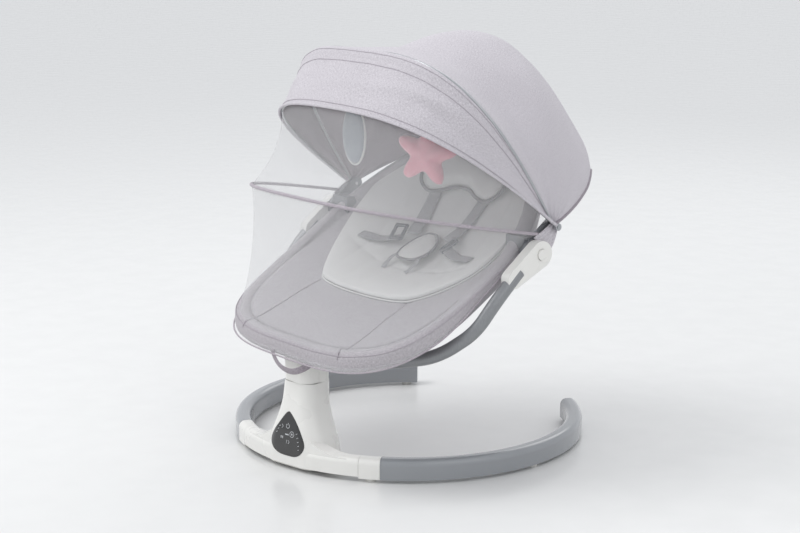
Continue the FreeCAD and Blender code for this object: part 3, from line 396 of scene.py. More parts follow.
def smooth_path(points, steps=8, closed=False):
    """A smooth chain of points through a few."""
    result = []
    count = len(points)
    last = count if closed else count - 1
    for i in range(last):
        a = points[(i - 1) % count] if (i or closed) else points[i]
        b = points[i]
        c = points[(i + 1) % count]
        d = points[(i + 2) % count] if (i < count - 2 or closed) else points[(i + 1) % count]
        for step in range(steps):
            s = step / steps
            result.append(0.5 * ((2 * b) + (c - a) * s + (2 * a - 5 * b + 4 * c - d) * s * s
                                 + (3 * b - a - 3 * c + d) * s ** 3))
    if not closed:
        result.append(points[-1])
    return result


def pad_levels(rings):
    """The share of the outline at each ring, from the middle of one face over the seam to the other."""
    shares = [math.sin(0.5 * math.pi * (i + 1) / rings) for i in range(rings)]
    return [(share, 1) for share in shares] + [(share, -1) for share in reversed(shares[:-1])]


def close_pad(name, points, uvs, count, middles, materials, inside=None):
    """A closed pad from its rings of points and the middle of each face, as pairs of point and UV."""
    total = len(points) // count
    faces = row_faces(total, count)
    for ring, (place, uv) in zip((0, total - 1), middles):
        points.append(place)
        uvs.append(uv)
        hub = len(points) - 1
        for j in range(count):
            pair = (ring * count + j, ring * count + (j + 1) % count)
            faces.append((hub, pair[1], pair[0]) if ring == 0 else (hub, pair[0], pair[1]))
    if inside is None:
        inside = sum(points, Vector()) / len(points)
    return new_object(name, points, faces, uvs, materials, inside)


def cushion(name, outline, low, high, materials, rings=10, power=2.6):
    """A closed crowned pad inside an outline of (x, y), between two height functions of (x, y)."""
    count = len(outline)
    cx = sum(p[0] for p in outline) / count
    cy = sum(p[1] for p in outline) / count
    points = []
    uvs = []
    for share, side in pad_levels(rings):
        crown = (1.0 - share ** power) ** (1.0 / power)
        for x, y in outline:
            px = cx + (x - cx) * share
            py = cy + (y - cy) * share
            top = high(px, py)
            base = low(px, py)
            seam = 0.5 * (top + base)
            z = seam + (top - seam) * crown if side > 0 else seam + (base - seam) * crown
            points.append(on_seat(px, py, z))
            uvs.append((px * MM, py * MM))
    middles = [(on_seat(cx, cy, height(cx, cy)), (cx * MM, cy * MM)) for height in (high, low)]
    return close_pad(name, points, uvs, count, middles, materials)


def puff(made, voxel, pressure, cap, frames=20):
    """Blow a closed pad up like stuffed cloth, moving no point further than a cap."""
    only(made)
    remesh = made.modifiers.new("Voxel", "REMESH")
    remesh.mode = "VOXEL"
    remesh.voxel_size = voxel
    bpy.ops.object.modifier_apply(modifier="Voxel")
    rest = [vertex.co.copy() for vertex in made.data.vertices]
    cloth = made.modifiers.new("Cloth", "CLOTH")
    cloth.settings.quality = 5
    cloth.settings.use_pressure = True
    cloth.settings.uniform_pressure_force = pressure
    cloth.settings.effector_weights.gravity = 0.0
    cloth.point_cache.frame_start = 1
    cloth.point_cache.frame_end = frames
    for number in range(1, frames + 1):
        bpy.context.scene.frame_set(number)
    bpy.ops.object.modifier_apply(modifier="Cloth")
    bpy.context.scene.frame_set(1)
    for vertex, start in zip(made.data.vertices, rest):
        step = vertex.co - start
        if step.length > cap:
            vertex.co = start + step * (cap / step.length)
    made.modifiers.new("Relax", "SMOOTH").iterations = 2
    finer = made.modifiers.new("Finer", "SUBSURF")
    finer.levels = 1
    finer.render_levels = 1
    apply_all(made)
    shade_smooth(made)
    return made


# ---- materials ----
def linear(colour):
    """A hex colour as linear red, green, blue and alpha."""
    values = []
    for start in (1, 3, 5):
        value = int(colour[start:start + 2], 16) / 255.0
        values.append(value / 12.92 if value <= 0.04045 else ((value + 0.055) / 1.055) ** 2.4)
    return (values[0], values[1], values[2], 1.0)


def add(tree, kind, settings=None, inputs=None):
    """A node of a kind, with its settings, its values and the sockets that are linked to it."""
    node = tree.nodes.new("ShaderNode" + kind)
    for name, value in (settings or {}).items():
        if name == "stops":
            ramp = node.color_ramp
            ramp.elements[0].position, ramp.elements[0].color = value[0]
            ramp.elements[1].position, ramp.elements[1].color = value[-1]
            for place, colour in value[1:-1]:
                ramp.elements.new(place).color = colour
        else:
            setattr(node, name, value)
    for name, value in (inputs or {}).items():
        if isinstance(value, bpy.types.NodeSocket):
            tree.links.new(value, node.inputs[name])
        else:
            node.inputs[name].default_value = value
    return node


def new_material(name):
    """An empty node material and its tree, with its output node."""
    made = bpy.data.materials.new(name)
    made.use_nodes = True
    made.node_tree.nodes.clear()
    return made, made.node_tree


def close_material(made, tree, shader):
    """Join the shader to the output."""
    output = tree.nodes.new("ShaderNodeOutputMaterial")
    tree.links.new(shader.outputs[0], output.inputs["Surface"])
    return made


def moulded(name, colour, roughness, grain_mm, relief, coat=0.0, shade=0.04, specular=0.5):
    """Injection-moulded plastic: an even colour, a faint eroded grain and small changes of gloss."""
    made, tree = new_material(name)
    place = add(tree, "TexCoord")
    grain = add(tree, "TexNoise", None, {"Vector": place.outputs["Object"], "Scale": 1000.0 / grain_mm,
                                         "Detail": 2.0})
    patch = add(tree, "TexNoise", None, {"Vector": place.outputs["Object"], "Scale": 14.0, "Detail": 3.0})
    base = linear(colour)
    dim = tuple(value * (1.0 - shade) for value in base[:3]) + (1.0,)
    tint = add(tree, "ValToRGB", {"stops": [(0.35, dim), (0.65, base)]}, {"Fac": patch.outputs["Fac"]})
    gloss = add(tree, "MapRange", None, {"Value": patch.outputs["Fac"], "From Min": 0.3, "From Max": 0.7,
                                         "To Min": roughness * 0.85, "To Max": roughness * 1.2})
    bump = add(tree, "Bump", None, {"Height": grain.outputs["Fac"], "Strength": relief, "Distance": 0.0002})
    shader = add(tree, "BsdfPrincipled", None, {
        "Base Color": tint.outputs["Color"], "Roughness": gloss.outputs["Result"], "IOR": 1.53,
        "Specular IOR Level": specular, "Coat Weight": coat, "Coat Roughness": 0.08,
        "Normal": bump.outputs["Normal"]})
    return close_material(made, tree, shader)


def metal(name, colour, roughness, metallic=1.0, brush_mm=0.6, coat=0.0):
    """Drawn or painted steel: fine drawing lines break up the gloss."""
    made, tree = new_material(name)
    place = add(tree, "TexCoord")
    stretch = add(tree, "Mapping", None, {"Vector": place.outputs["Object"], "Scale": (1.0, 1.0, 0.05)})
    lines = add(tree, "TexNoise", None, {"Vector": stretch.outputs["Vector"], "Scale": 1000.0 / brush_mm,
                                         "Detail": 3.0})
    gloss = add(tree, "MapRange", None, {"Value": lines.outputs["Fac"], "To Min": roughness * 0.8,
                                         "To Max": roughness * 1.3})
    base = linear(colour)
    dim = tuple(value * 0.88 for value in base[:3]) + (1.0,)
    tint = add(tree, "ValToRGB", {"stops": [(0.4, dim), (0.6, base)]}, {"Fac": lines.outputs["Fac"]})
    bump = add(tree, "Bump", None, {"Height": lines.outputs["Fac"], "Strength": 0.08, "Distance": 0.0002})
    shader = add(tree, "BsdfPrincipled", None, {
        "Base Color": tint.outputs["Color"], "Metallic": metallic, "Roughness": gloss.outputs["Result"],
        "Coat Weight": coat, "Coat Roughness": 0.15, "Normal": bump.outputs["Normal"]})
    return close_material(made, tree, shader)


def woven(name, light, dark, thread_mm, slub_mm, relief, sheen=0.25, contrast=0.16, alpha=None):
    """Plain woven cloth: warp and weft slubs of two colours, crossing threads in relief, and a soft nap."""
    made, tree = new_material(name)
    cloth = add(tree, "UVMap", {"uv_map": "Cloth"})
    thread = 1000.0 / thread_mm
    slub = 1000.0 / slub_mm
    warp_place = add(tree, "Mapping", None, {"Vector": cloth.outputs["UV"], "Scale": (thread, slub, 1.0)})
    weft_place = add(tree, "Mapping", None, {"Vector": cloth.outputs["UV"], "Scale": (slub, thread, 1.0)})
    warp = add(tree, "TexNoise", None, {"Vector": warp_place.outputs["Vector"], "Scale": 1.0, "Detail": 2.0})
    weft = add(tree, "TexNoise", None, {"Vector": weft_place.outputs["Vector"], "Scale": 1.0, "Detail": 2.0})
    both = add(tree, "Math", {"operation": "ADD"}, {0: warp.outputs["Fac"], 1: weft.outputs["Fac"]})
    half = add(tree, "Math", {"operation": "MULTIPLY"}, {0: both.outputs["Value"], 1: 0.5})
    tint = add(tree, "ValToRGB", {"stops": [(0.5 - contrast * 0.5, linear(dark)),
                                            (0.5 + contrast * 0.5, linear(light))]},
               {"Fac": half.outputs["Value"]})
    patch = add(tree, "TexNoise", None, {"Vector": cloth.outputs["UV"], "Scale": 9.0, "Detail": 3.0})
    fade = add(tree, "MapRange", None, {"Value": patch.outputs["Fac"], "To Min": 0.94, "To Max": 1.04})
    colour = add(tree, "VectorMath", {"operation": "SCALE"}, {0: tint.outputs["Color"],
                                                              "Scale": fade.outputs["Result"]})
    rib = {"wave_type": "BANDS", "bands_direction": "X", "wave_profile": "SIN"}
    pitch = thread * WAVE_PERIOD
    across = add(tree, "TexWave", rib, {"Vector": cloth.outputs["UV"], "Scale": pitch, "Distortion": 0.2})
    down = add(tree, "TexWave", dict(rib, bands_direction="Y"),
               {"Vector": cloth.outputs["UV"], "Scale": pitch, "Distortion": 0.4})
    weave = add(tree, "Math", {"operation": "MULTIPLY"}, {0: across.outputs["Fac"], 1: down.outputs["Fac"]})
    height = add(tree, "Math", {"operation": "MULTIPLY_ADD"}, {0: weave.outputs["Value"], 1: 0.5,
                                                               2: half.outputs["Value"]})
    bump = add(tree, "Bump", None, {"Height": height.outputs["Value"], "Strength": relief,
                                    "Distance": 0.0006})
    values = {"Base Color": colour.outputs["Vector"], "Roughness": 0.9, "IOR": 1.45,
              "Specular IOR Level": 0.2, "Sheen Weight": sheen, "Sheen Roughness": 0.5,
              "Normal": bump.outputs["Normal"]}
    if alpha is not None:
        lattice = add(tree, "Math", {"operation": "MAXIMUM"}, {0: across.outputs["Fac"],
                                                               1: down.outputs["Fac"]})
        holes = add(tree, "MapRange", None, {"Value": lattice.outputs["Value"], "From Min": 0.5,
                                             "From Max": 0.95, "To Min": alpha[0], "To Max": alpha[1]})
        values["Alpha"] = holes.outputs["Result"]
    shader = add(tree, "BsdfPrincipled", None, values)
    return close_material(made, tree, shader)


def plush(name, colour, shade, pile_mm):
    """Short-pile plush: soft tufts coloured lighter at their tips as painted highlight, and darker between
    them as painted shade.
    """
    made, tree = new_material(name)
    place = add(tree, "TexCoord")
    pile = add(tree, "TexNoise", None, {"Vector": place.outputs["Object"], "Scale": 1000.0 / pile_mm,
                                        "Detail": 3.0})
    tuft = add(tree, "TexNoise", None, {"Vector": place.outputs["Object"], "Scale": 60.0, "Detail": 2.0})
    mixed = add(tree, "Math", {"operation": "MULTIPLY_ADD"}, {0: pile.outputs["Fac"], 1: 0.6,
                                                              2: tuft.outputs["Fac"]})
    # the shade colour is painted shade between the tufts, and the full colour paints the light on their tips
    tint = add(tree, "ValToRGB", {"stops": [(0.45, linear(shade)), (0.95, linear(colour))]},
               {"Fac": mixed.outputs["Value"]})
    bump = add(tree, "Bump", None, {"Height": pile.outputs["Fac"], "Strength": 0.5, "Distance": 0.0008})
    shader = add(tree, "BsdfPrincipled", None, {
        "Base Color": tint.outputs["Color"], "Roughness": 0.95, "Specular IOR Level": 0.15,
        "Sheen Weight": 0.6, "Sheen Roughness": 0.6, "Normal": bump.outputs["Normal"]})
    return close_material(made, tree, shader)


MATERIALS = {}


def make_materials():
    """Every finish, made once."""
    own = look()
    # melange polyester canvas: light and dark yarns crossing, which read as a heathered grey
    MATERIALS["canopy_cloth"] = woven("melange canopy canvas", own.canopy_light, own.canopy_dark, 1.0, 4.5,
                                      0.3, sheen=0.12, contrast=0.3)
    # the same canvas in the seat, a shade darker: painted shade, for the seat lying under the canopy and the
    # net
    MATERIALS["seat_cloth"] = woven("melange seat canvas with painted shade", own.seat_light_with_shade, own.seat_dark_with_shade, 1.0, 4.5, 0.3,
                                    sheen=0.12, contrast=0.3)
    # brushed taffeta lining on the cloth's inner faces: a dull dark mauve, partly the lining's own colour and
    # partly painted shade of the undersides of the canopy and the seat
    MATERIALS["lining"] = woven("canopy lining taffeta", "#A79DA3", "#8B8187", 1.2, 5.0, 0.2, sheen=0.1)
    # bias binding tape: a narrow dense weave
    MATERIALS["binding"] = woven("bias binding tape", "#C3BBC2", "#A29AA2", 1.0, 4.0, 0.3)
    MATERIALS["dark_binding"] = woven("hem binding tape", "#ABA3AA", "#8B838B", 1.0, 4.0, 0.3)
    # brushed cotton jersey: fine and matte, with hardly any thread contrast
    MATERIALS["liner"] = woven("brushed cotton jersey", own.liner_colour, "#E0E0DE", 1.2, 4.0, 0.2,
                               contrast=0.5)
    MATERIALS["pillow"] = woven("pillow jersey", "#EAEAE8", "#DCDCDA", 1.2, 4.0, 0.2, contrast=0.5)
    MATERIALS["piping"] = woven("grey piping tape", "#9C9A9C", "#807E81", 1.0, 4.0, 0.3)
    # sewing thread: a thin darker line
    MATERIALS["thread"] = woven("sewing thread", "#BDB7BD", "#A9A3AA", 0.6, 3.0, 0.2, sheen=0.0)
    # nylon webbing: ribbed and slightly shiny
    MATERIALS["webbing"] = woven("nylon webbing", "#B9B8BA", "#9E9DA0", 1.6, 6.0, 0.6, sheen=0.1)
    # knitted polyester net: a lattice of fine white yarn, which veils what is behind it
    MATERIALS["net"] = woven("mosquito net", "#F7F7F8", "#EDEDEF", 1.5, 8.0, 0.1, sheen=0.3,
                             alpha=(0.05, 0.25))
    # gloss ABS: even, clean highlights with a trace of flow marks
    MATERIALS["shell"] = moulded("gloss ABS", own.shell_colour, 0.28, 1.1, 0.05, coat=0.25)
    MATERIALS["arm"] = moulded("grey gloss ABS", own.arm_colour, 0.22, 1.1, 0.04, coat=0.6)
    MATERIALS["lens"] = moulded("black acrylic lens", "#0B0B0D", 0.08, 2.0, 0.01, coat=1.0, shade=0.2)
    MATERIALS["icon"] = moulded("printed icon ink", "#D5D7DA", 0.45, 1.5, 0.02)
    MATERIALS["nylon"] = moulded("grey nylon", "#7C7E82", 0.45, 0.9, 0.15)
    MATERIALS["buckle"] = moulded("acetal buckle", "#6B6D71", 0.35, 0.9, 0.08, coat=0.1)
    MATERIALS["black"] = moulded("black polypropylene", "#1B1B1D", 0.5, 0.9, 0.15)
    MATERIALS["chassis"] = moulded("white structural ABS", "#DAD9D5", 0.5, 0.9, 0.2)
    MATERIALS["rubber"] = moulded("white TPE rubber", "#DCDBD7", 0.75, 0.8, 0.3, specular=0.3)
    MATERIALS["acetal"] = moulded("acetal gear", "#E6E2D4", 0.4, 0.9, 0.1)
    MATERIALS["board"] = moulded("solder mask", "#1E5A38", 0.35, 2.0, 0.05, coat=0.3)
    MATERIALS["steel"] = metal("drawn steel", "#B8BABD", 0.32)
    MATERIALS["zinc"] = metal("die-cast zinc", "#9A9CA0", 0.5, brush_mm=1.5)
    # powder coat over steel tube: grey paint with a satin skin
    MATERIALS["tube"] = metal("powder-coated steel tube", "#8E9093", 0.36, metallic=0.15, brush_mm=1.2,
                              coat=0.3)
    MATERIALS["pink_plush"] = plush("pink short-pile plush", own.star_colour, "#EC93A3", 1.3)
    MATERIALS["blue_plush"] = plush("grey-blue short-pile plush", "#98A1A9", "#828C95", 1.3)
    MATERIALS["floor"] = moulded("polished pale floor", "#E9E9E8", 0.22, 3.0, 0.0, shade=0.01)


# ---- operators ----
class SWING_OT_stage(bpy.types.Operator):
    """Camera, lights and a plain pale floor"""
    bl_idname = "swing.stage"
    bl_label = "Stage"

    def execute(self, context):
        scene = context.scene
        make_materials()
        data = bpy.data.cameras.new("Camera")
        camera = bpy.data.objects.new("Camera", data)
        scene.collection.objects.link(camera)
        camera.location = (2.080, -2.1185, 0.9797)
        camera.rotation_euler = Vector((-0.6475, 0.7319, -0.2122)).to_track_quat("-Z", "Y").to_euler()
        data.lens = look().camera_lens
        data.sensor_width = 36.0
        scene.camera = camera
        bpy.ops.object.select_all(action="DESELECT")
        bpy.ops.mesh.primitive_plane_add(size=40.0, location=(0.0, 0.0, 0.0))
        floor = context.active_object
        floor.name = "floor"
        floor.data.materials.append(MATERIALS["floor"])
        world = bpy.data.worlds.new("Studio")
        world.use_nodes = True
        sky = world.node_tree.nodes["Background"]
        sky.inputs["Color"].default_value = linear("#EEF0F3")
        sky.inputs["Strength"].default_value = 0.92
        scene.world = world
        lamps = (("key", (-1.6, -1.2, 2.9), (0.0, 0.1, 0.3), 2.2, 44.0),
                 ("fill", (2.6, -0.4, 2.0), (0.0, 0.2, 0.3), 2.4, 8.0),
                 ("back", (-0.6, 2.8, 2.4), (0.0, 0.2, 0.4), 2.0, 14.0))
        for name, place, aim, size, power in lamps:
            lamp = bpy.data.lights.new(name, "AREA")
            lamp.shape = "DISK"
            lamp.size = size
            lamp.energy = power
            item = bpy.data.objects.new(name, lamp)
            scene.collection.objects.link(item)
            item.location = place
            item.rotation_euler = (Vector(aim) - Vector(place)).to_track_quat("-Z", "Y").to_euler()
        scene.view_settings.view_transform = "Standard"
        return {"FINISHED"}


class SWING_OT_finishes(bpy.types.Operator):
    """Finishes of the hard parts"""
    bl_idname = "swing.finishes"
    bl_label = "Hard part finishes"

    groups = {
        "shell": ("tower_shell", "rear_cover", "collar_front", "collar_rear", "recline_housing_left",
                  "recline_housing_right", "recline_button_left", "recline_button_right", "arm_sleeve_left",
                  "arm_sleeve_right"),
        "arm": ("base_arm_left", "base_arm_right", "arm_end_cap_left", "arm_end_cap_right"),
        "tube": ("support_arm_left", "support_arm_right", "head_tube", "foot_tube"),
        "lens": ("control_panel",),
        "nylon": ("recline_hub_left", "recline_hub_right", "bearing_housing"),
        "chassis": ("base_chassis",),
        "black": ("speaker", "dc_jack", "gear_frame"),
        "rubber": ("rubber_feet",),
        "acetal": ("crank_wheel",),
        "board": ("control_board",),
        "zinc": ("swing_lever", "arm_yoke", "arm_joiners"),
        "steel": ("gear_motor", "motor_pinion", "shaft_bearings", "crank_axle", "cover_screws",
                  "frame_screws", "swing_shaft", "recline_pins", "canopy_mid_bow", "canopy_front_bow"),
    }

    def execute(self, context):
        for finish, names in self.groups.items():
            for name in names:
                item = NODES[name]
                if not item.material_slots:
                    raise RuntimeError(name + " has no material slot")
                for place in item.material_slots:
                    place.material = MATERIALS[finish]
        return {"FINISHED"}


class SWING_OT_canopy(bpy.types.Operator):
    """Hood and brim of the canopy, with their stitching, bindings and gathered tails"""
    bl_idname = "swing.canopy"
    bl_label = "Canopy"

    def panel(self, name, table, first, last, count, shape, materials):
        """One curved sheet from a lean of the bows to another, which may change along the arch."""
        rows = []
        for i in range(count + 1):
            row = []
            for j in range(COLUMNS + 1):
                side = 2.0 * min(j, COLUMNS - j) / COLUMNS
                lean = first + (last(90.0 * side ** 1.3) - first) * i / count
                height, half_width, power = between(table, lean)
                start = math.asin((HINGE_REACH / height) ** (power / 2.0))
                t = start + (0.5 * math.pi - start) * side ** (0.3 + power / 1.9)
                if j > COLUMNS // 2:
                    t = math.pi - t
                x, y, z = arch(t, height, lean, half_width, power, CANOPY_PIVOT)
                forward = y - CANOPY_PIVOT[0]
                rise = z - CANOPY_PIVOT[1]
                length = math.hypot(x, math.hypot(forward, rise))
                grow = 1.0 + shape(lean, t, (x, y, z)) / max(length, 1.0)
                row.append(on_seat(x * grow, CANOPY_PIVOT[0] + forward * grow, CANOPY_PIVOT[1] + rise * grow))
            rows.append(row)
        inside = on_seat(0.0, CANOPY_PIVOT[0], CANOPY_PIVOT[1])
        return sheet_grid(name, rows, materials, look().cloth_thickness, inside), rows

    def lifted(self, place, lift):
        """A point moved a little further out from the hinge line."""
        hub = on_seat(0.0, CANOPY_PIVOT[0], CANOPY_PIVOT[1])
        return place + (place - hub).normalized() * (lift * MM)

    def hinge_gather(self, side, name):
        """The pleated tail of cloth that hangs over a hinge, along the seat's side."""
        back, fall = 0.68, 0.73
        rows = []
        for i in range(15):
            down = i / 14.0
            row = []
            for j in range(29):
                fan = -1.0 + 2.0 * j / 28.0
                spread = (5.0 + 17.0 * down ** 0.8) * fan
                along = 46.0 * down - 6.0
                y = CANOPY_PIVOT[0] - back * along + fall * spread
                z = CANOPY_PIVOT[1] - fall * along - back * spread
                pleat = 1.6 * math.sin(9.0 * fan) * (1.0 - 0.5 * down)
                x = side * (270.5 + 3.0 * math.sin(math.pi * down) + pleat)
                row.append(on_seat(x, y, z))
            rows.append(row)
        made = sheet_grid(name, rows, (MATERIALS["canopy_cloth"],), look().cloth_thickness,
                          on_seat(side * 200.0, CANOPY_PIVOT[0], CANOPY_PIVOT[1]))
        dress(made, "seat")

    def execute(self, context):
        outer = MATERIALS["canopy_cloth"]
        lining = MATERIALS["lining"]

        def hem_lean(side):
            """The hood's hem climbs from the hinge and drops behind the head."""
            return -66.0 - 29.0 * ease((side - 38.0) / 40.0)

        def low_share(t):
            return 1.0 - math.sin(t) ** 0.7

        def hood_shape(lean, t, place):
            gather = low_share(t) ** 3
            pleats = math.sin(math.radians(lean) * 16.0 + 1.3 * math.sin(3.0 * t)) * 2.2 * gather
            soft = 1.8 * ruffle(place, 95.0) + 0.8 * ruffle(place, 40.0, 3.0)
            fade = ease((HOOD_FRONT - lean) / 8.0)
            return (pleats + soft) * fade - 1.5 * (1.0 - fade)

        def brim_shape(lean, t, place):
            share = (lean - BRIM_BACK) / (BRIM_FRONT - BRIM_BACK)
            middle = math.sin(math.pi * min(1.0, max(0.0, share)))
            ends = low_share(t)
            u = math.degrees(t)
            drape = -3.0 * middle
            long_fold = 4.5 * hill(share, 0.45 + 0.004 * (u - 60.0), 0.10) * hill(u, 62.0, 26.0)
            cross_fold = -3.5 * hill(share, 0.62 - 0.006 * (u - 50.0), 0.09) * hill(u, 48.0, 20.0)
            far_fold = 3.0 * hill(share, 0.5 + 0.005 * (u - 110.0), 0.12) * hill(u, 115.0, 22.0)
            soft = 2.4 * ruffle(place, 48.0, 7.0) + 1.1 * ruffle(place, 22.0, 5.0)
            pleats = math.sin(share * 9.0) * 1.5 * ends ** 3
            return (drape + long_fold + cross_fold + far_fold + soft + pleats) * middle ** 0.5

        hood, hood_rows = self.panel("hood", HOOD_ROWS, HOOD_FRONT, hem_lean, 90, hood_shape, (outer, lining))
        dress(hood, node="canopy_rear_panel")
        brim, brim_rows = self.panel("brim", BRIM_ROWS, BRIM_BACK, lambda side: BRIM_FRONT, 40, brim_shape,
                                     (outer, lining))
        dress(brim, node="canopy_front_panel")
        edge = tube("brim_binding", brim_rows[-1], 0.0024, (outer,), sides=10)
        dress(edge, "canopy_front")
        hem = tube("hood_hem", hood_rows[-1], 0.0026, (MATERIALS["dark_binding"],), sides=10)
        dress(hem, "seat")
        lines = []
        for level in (4, 10, -4):
            path = [self.lifted(place, 0.3) for place in brim_rows[level]]
            lines.append(tube("stitching", path, 0.0006, (MATERIALS["thread"],), sides=5))
        front_line = lines.pop()
        front_line.name = "brim_stitching"
        dress(front_line, "canopy_front")
        dress(join(lines, "seam_stitching"), "canopy_mid")
        for side, word in ((1.0, "left"), (-1.0, "right")):
            self.hinge_gather(side, "hinge_gather_" + word)
        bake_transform(hood)
        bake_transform(brim)
        return {"FINISHED"}


class SWING_OT_seat(bpy.types.Operator):
    """Seat cover stretched over its hoop, with seams and hem"""
    bl_idname = "swing.seat"
    bl_label = "Seat cover"

    def execute(self, context):
        count = 200
        rows = []
        levels = [0.03, 0.12, 0.22, 0.32, 0.42, 0.5, 0.57, 0.63, 0.69, 0.74, 0.79, 0.83, 0.87, 0.90]

        def groove(x, y):
            """Depth of the two seams that run from the liner's corners to the foot hem."""
            if y >= SEAM_START[1]:
                return 0.0
            return sum(2.0 * hill(x, side * self.seam_x(y), 3.2) for side in (-1.0, 1.0))

        for share in levels:
            row = []
            for j in range(count):
                t = 2.0 * math.pi * j / count
                x, y = rim_point(t, 0.0)
                x *= share
                y = RIM_WIDEST + share * (y - RIM_WIDEST)
                row.append(on_seat(x, y, self.cloth_z(x, y) - groove(x, y)))
            rows.append(row)
        for degrees in (150, 135, 120, 105, 90, 75, 60, 45, 34, 26, 18, 8, 0):
            angle = math.radians(degrees)
            stitch = 1.2 * hill(degrees, 30.0, 5.0)
            reach = HOOP_SLEEVE - stitch
            rows.append(self.ring(count, HOOP_INSET - reach * math.cos(angle),
                                  HOOP_DROP - reach * math.sin(angle), groove))
        for inset, drop in ((0.3, 16.0), (0.6, 22.0), (1.6, 27.0), (4.5, 30.0), (9.0, 31.0), (14.0, 29.0)):
            rows.append(self.ring(count, inset, drop, None))
        inside = on_seat(0.0, 190.0, -400.0)
        cover = sheet_grid("seat_cover_cloth", rows, (MATERIALS["seat_cloth"], MATERIALS["lining"]),
                           look().cloth_thickness, inside, closed=True)
        self.seams()
        self.foot_loop()
        dress(cover, "seat", "seat_cover")
        return {"FINISHED"}

    def seam_x(self, y):
        """How far from the middle each long seam runs."""
        return SEAM_START[0] + (SEAM_START[1] - y) * SEAM_SPLAY

    def cloth_z(self, x, y):
        """Height of the cover's upper face."""
        place = (x, y, 0.0)
        return sling_z(x, y) + 2.0 + 1.1 * ruffle(place, 55.0) + 0.5 * ruffle(place, 24.0, 2.0)

    def seams(self):
        """Stitching along the two long seams and round the hoop, one piece."""
        thread = (MATERIALS["thread"],)
        made = []
        for side in (1.0, -1.0):
            path = []
            for i in range(40):
                y = 116.0 - i * 3.6
                x = side * self.seam_x(y)
                if y > RIM_FOOT + 24.0:
                    path.append(on_seat(x, y, self.cloth_z(x, y) + 0.2))
            turn = min((math.pi * (1.0 + i / 720.0) for i in range(721)),
                       key=lambda t: abs(rim_point(t, 0.0)[0] - side * 134.0))
            path.extend(self.hoop_place(turn, degrees, 0.2) for degrees in (140, 120, 100, 80, 60, 40, 20, 0))
            made.append(tube("seam", path, 0.0008, thread, sides=6))
        path = [self.hoop_place(2.0 * math.pi * j / 240, 24.0, 0.1) for j in range(240)]
        made.append(tube("seam", path, 0.0008, thread, sides=6, closed=True))
        dress(join(made, "cover_stitching"), "seat")

    def foot_loop(self):
        """The elastic strap that holds the cover under the foot edge."""
        strap = [(-40, -34, 214), (-36, -44, 194), (-14, -47, 175), (18, -47, 170), (44, -42, 178),
                 (60, -26, 194), (66, -4, 212)]
        path = smooth_path([on_seat(*place) for place in strap], 8)
        loop = tube("elastic_loop", path, 0.0055, (MATERIALS["dark_binding"],), sides=12, flat=0.18,
                    up=Vector((0.0, 1.0, 0.25)).normalized())
        dress(loop, "seat")

    def hoop_place(self, t, degrees, lift):
        """A place on the cloth that wraps the hoop, lifted off it a little."""
        angle = math.radians(degrees)
        reach = HOOP_SLEEVE + lift
        return self.ring_place(t, HOOP_INSET - reach * math.cos(angle),
                               HOOP_DROP - reach * math.sin(angle), None)

    def ring_place(self, t, inset, drop, groove):
        """A place of the cloth beside the rim, inwards and down from it."""
        x, y = rim_point(t, inset)
        depth = groove(x, y) if groove else 0.0
        sway = 0.8 * ruffle((x, y, drop), 45.0, 4.0)
        return on_seat(x, y, rim_z(rim_point(t, HOOP_INSET)[1]) - drop - depth + sway)

    def ring(self, count, inset, drop, groove):
        """A closed row round the hoop."""
        return [self.ring_place(2.0 * math.pi * j / count, inset, drop, groove) for j in range(count)]


class SWING_OT_liner(bpy.types.Operator):
    """Padded liner and head pillow with their piping"""
    bl_idname = "swing.liner"
    bl_label = "Liner and pillow"

    def execute(self, context):
        half = [(0.0, 108.0), (40.0, 109.0), (80.0, 112.0), (112.0, 118.0), (128.0, 128.0),
                (150.0, 152.0), (175.0, 186.0), (193.0, 222.0), (203.0, 262.0), (199.0, 302.0),
                (182.0, 336.0), (150.0, 362.0), (100.0, 380.0), (50.0, 387.0), (0.0, 389.0)]
        loop = half + [(-x, y) for x, y in reversed(half[1:-1])]
        outline = smooth_outline(loop, 6)
        height = look().liner_height / MM

        def low(x, y):
            return sling_z(x, y) + LINER_GAP

        def high(x, y):
            crease = 1.7 * ruffle((x, y * 0.35, 0.0), 26.0, 9.0) + 0.8 * ruffle((x, y, 0.0), 60.0, 1.0)
            seam = -1.8 * hill(y, 200.0 + 0.0006 * x * x, 4.0) * (1.0 if abs(x) < 190.0 else 0.0)
            sides = -2.45 * hill(abs(x), 128.0 - 0.06 * (300.0 - y), 4.0) * ease((y - 150.0) / 60.0)
            return low(x, y) + height + crease + seam + sides

        liner = cushion("seat_liner_pad", outline, low, high, (MATERIALS["liner"],), rings=46, power=5.0)
        dress(liner, "seat", "seat_liner")
        border = [on_seat(x, y, sling_z(x, y) + 4.2) for x, y in outline]
        welt = tube("liner_welt", border, 0.0016, (MATERIALS["pillow"],), closed=True)
        dress(welt, "seat")
        top = height + 8.5
        shape = [(-112.0, 345.0), (-104.0, 328.0), (-78.0, 321.0), (-48.0, 326.0), (-18.0, 334.0),
                 (18.0, 334.0), (48.0, 326.0), (78.0, 321.0), (104.0, 328.0), (112.0, 345.0),
                 (104.0, 370.0), (70.0, 384.0), (0.0, 388.0), (-70.0, 384.0), (-104.0, 370.0)]
        edge = smooth_outline(shape, 7)

        def under(x, y):
            return sling_z(x, y) + top

        def over(x, y):
            dip = -6.0 * hill(x, 0.0, 34.0)
            return sling_z(x, y) + top + 30.0 + dip + 0.8 * ruffle((x, y, 0.0), 30.0, 6.0)

        pillow = cushion("head_pillow_pad", edge, under, over, (MATERIALS["pillow"],), rings=14, power=2.4)
        puff(pillow, 0.005, 3.0, 0.005)
        dress(pillow, "seat", "head_pillow")
        line = [on_seat(x, y, sling_z(x, y) + top + 12.0) for x, y in edge]
        dress(tube("pillow_piping", line, 0.0034, (MATERIALS["piping"],), closed=True), "seat")
        return {"FINISHED"}


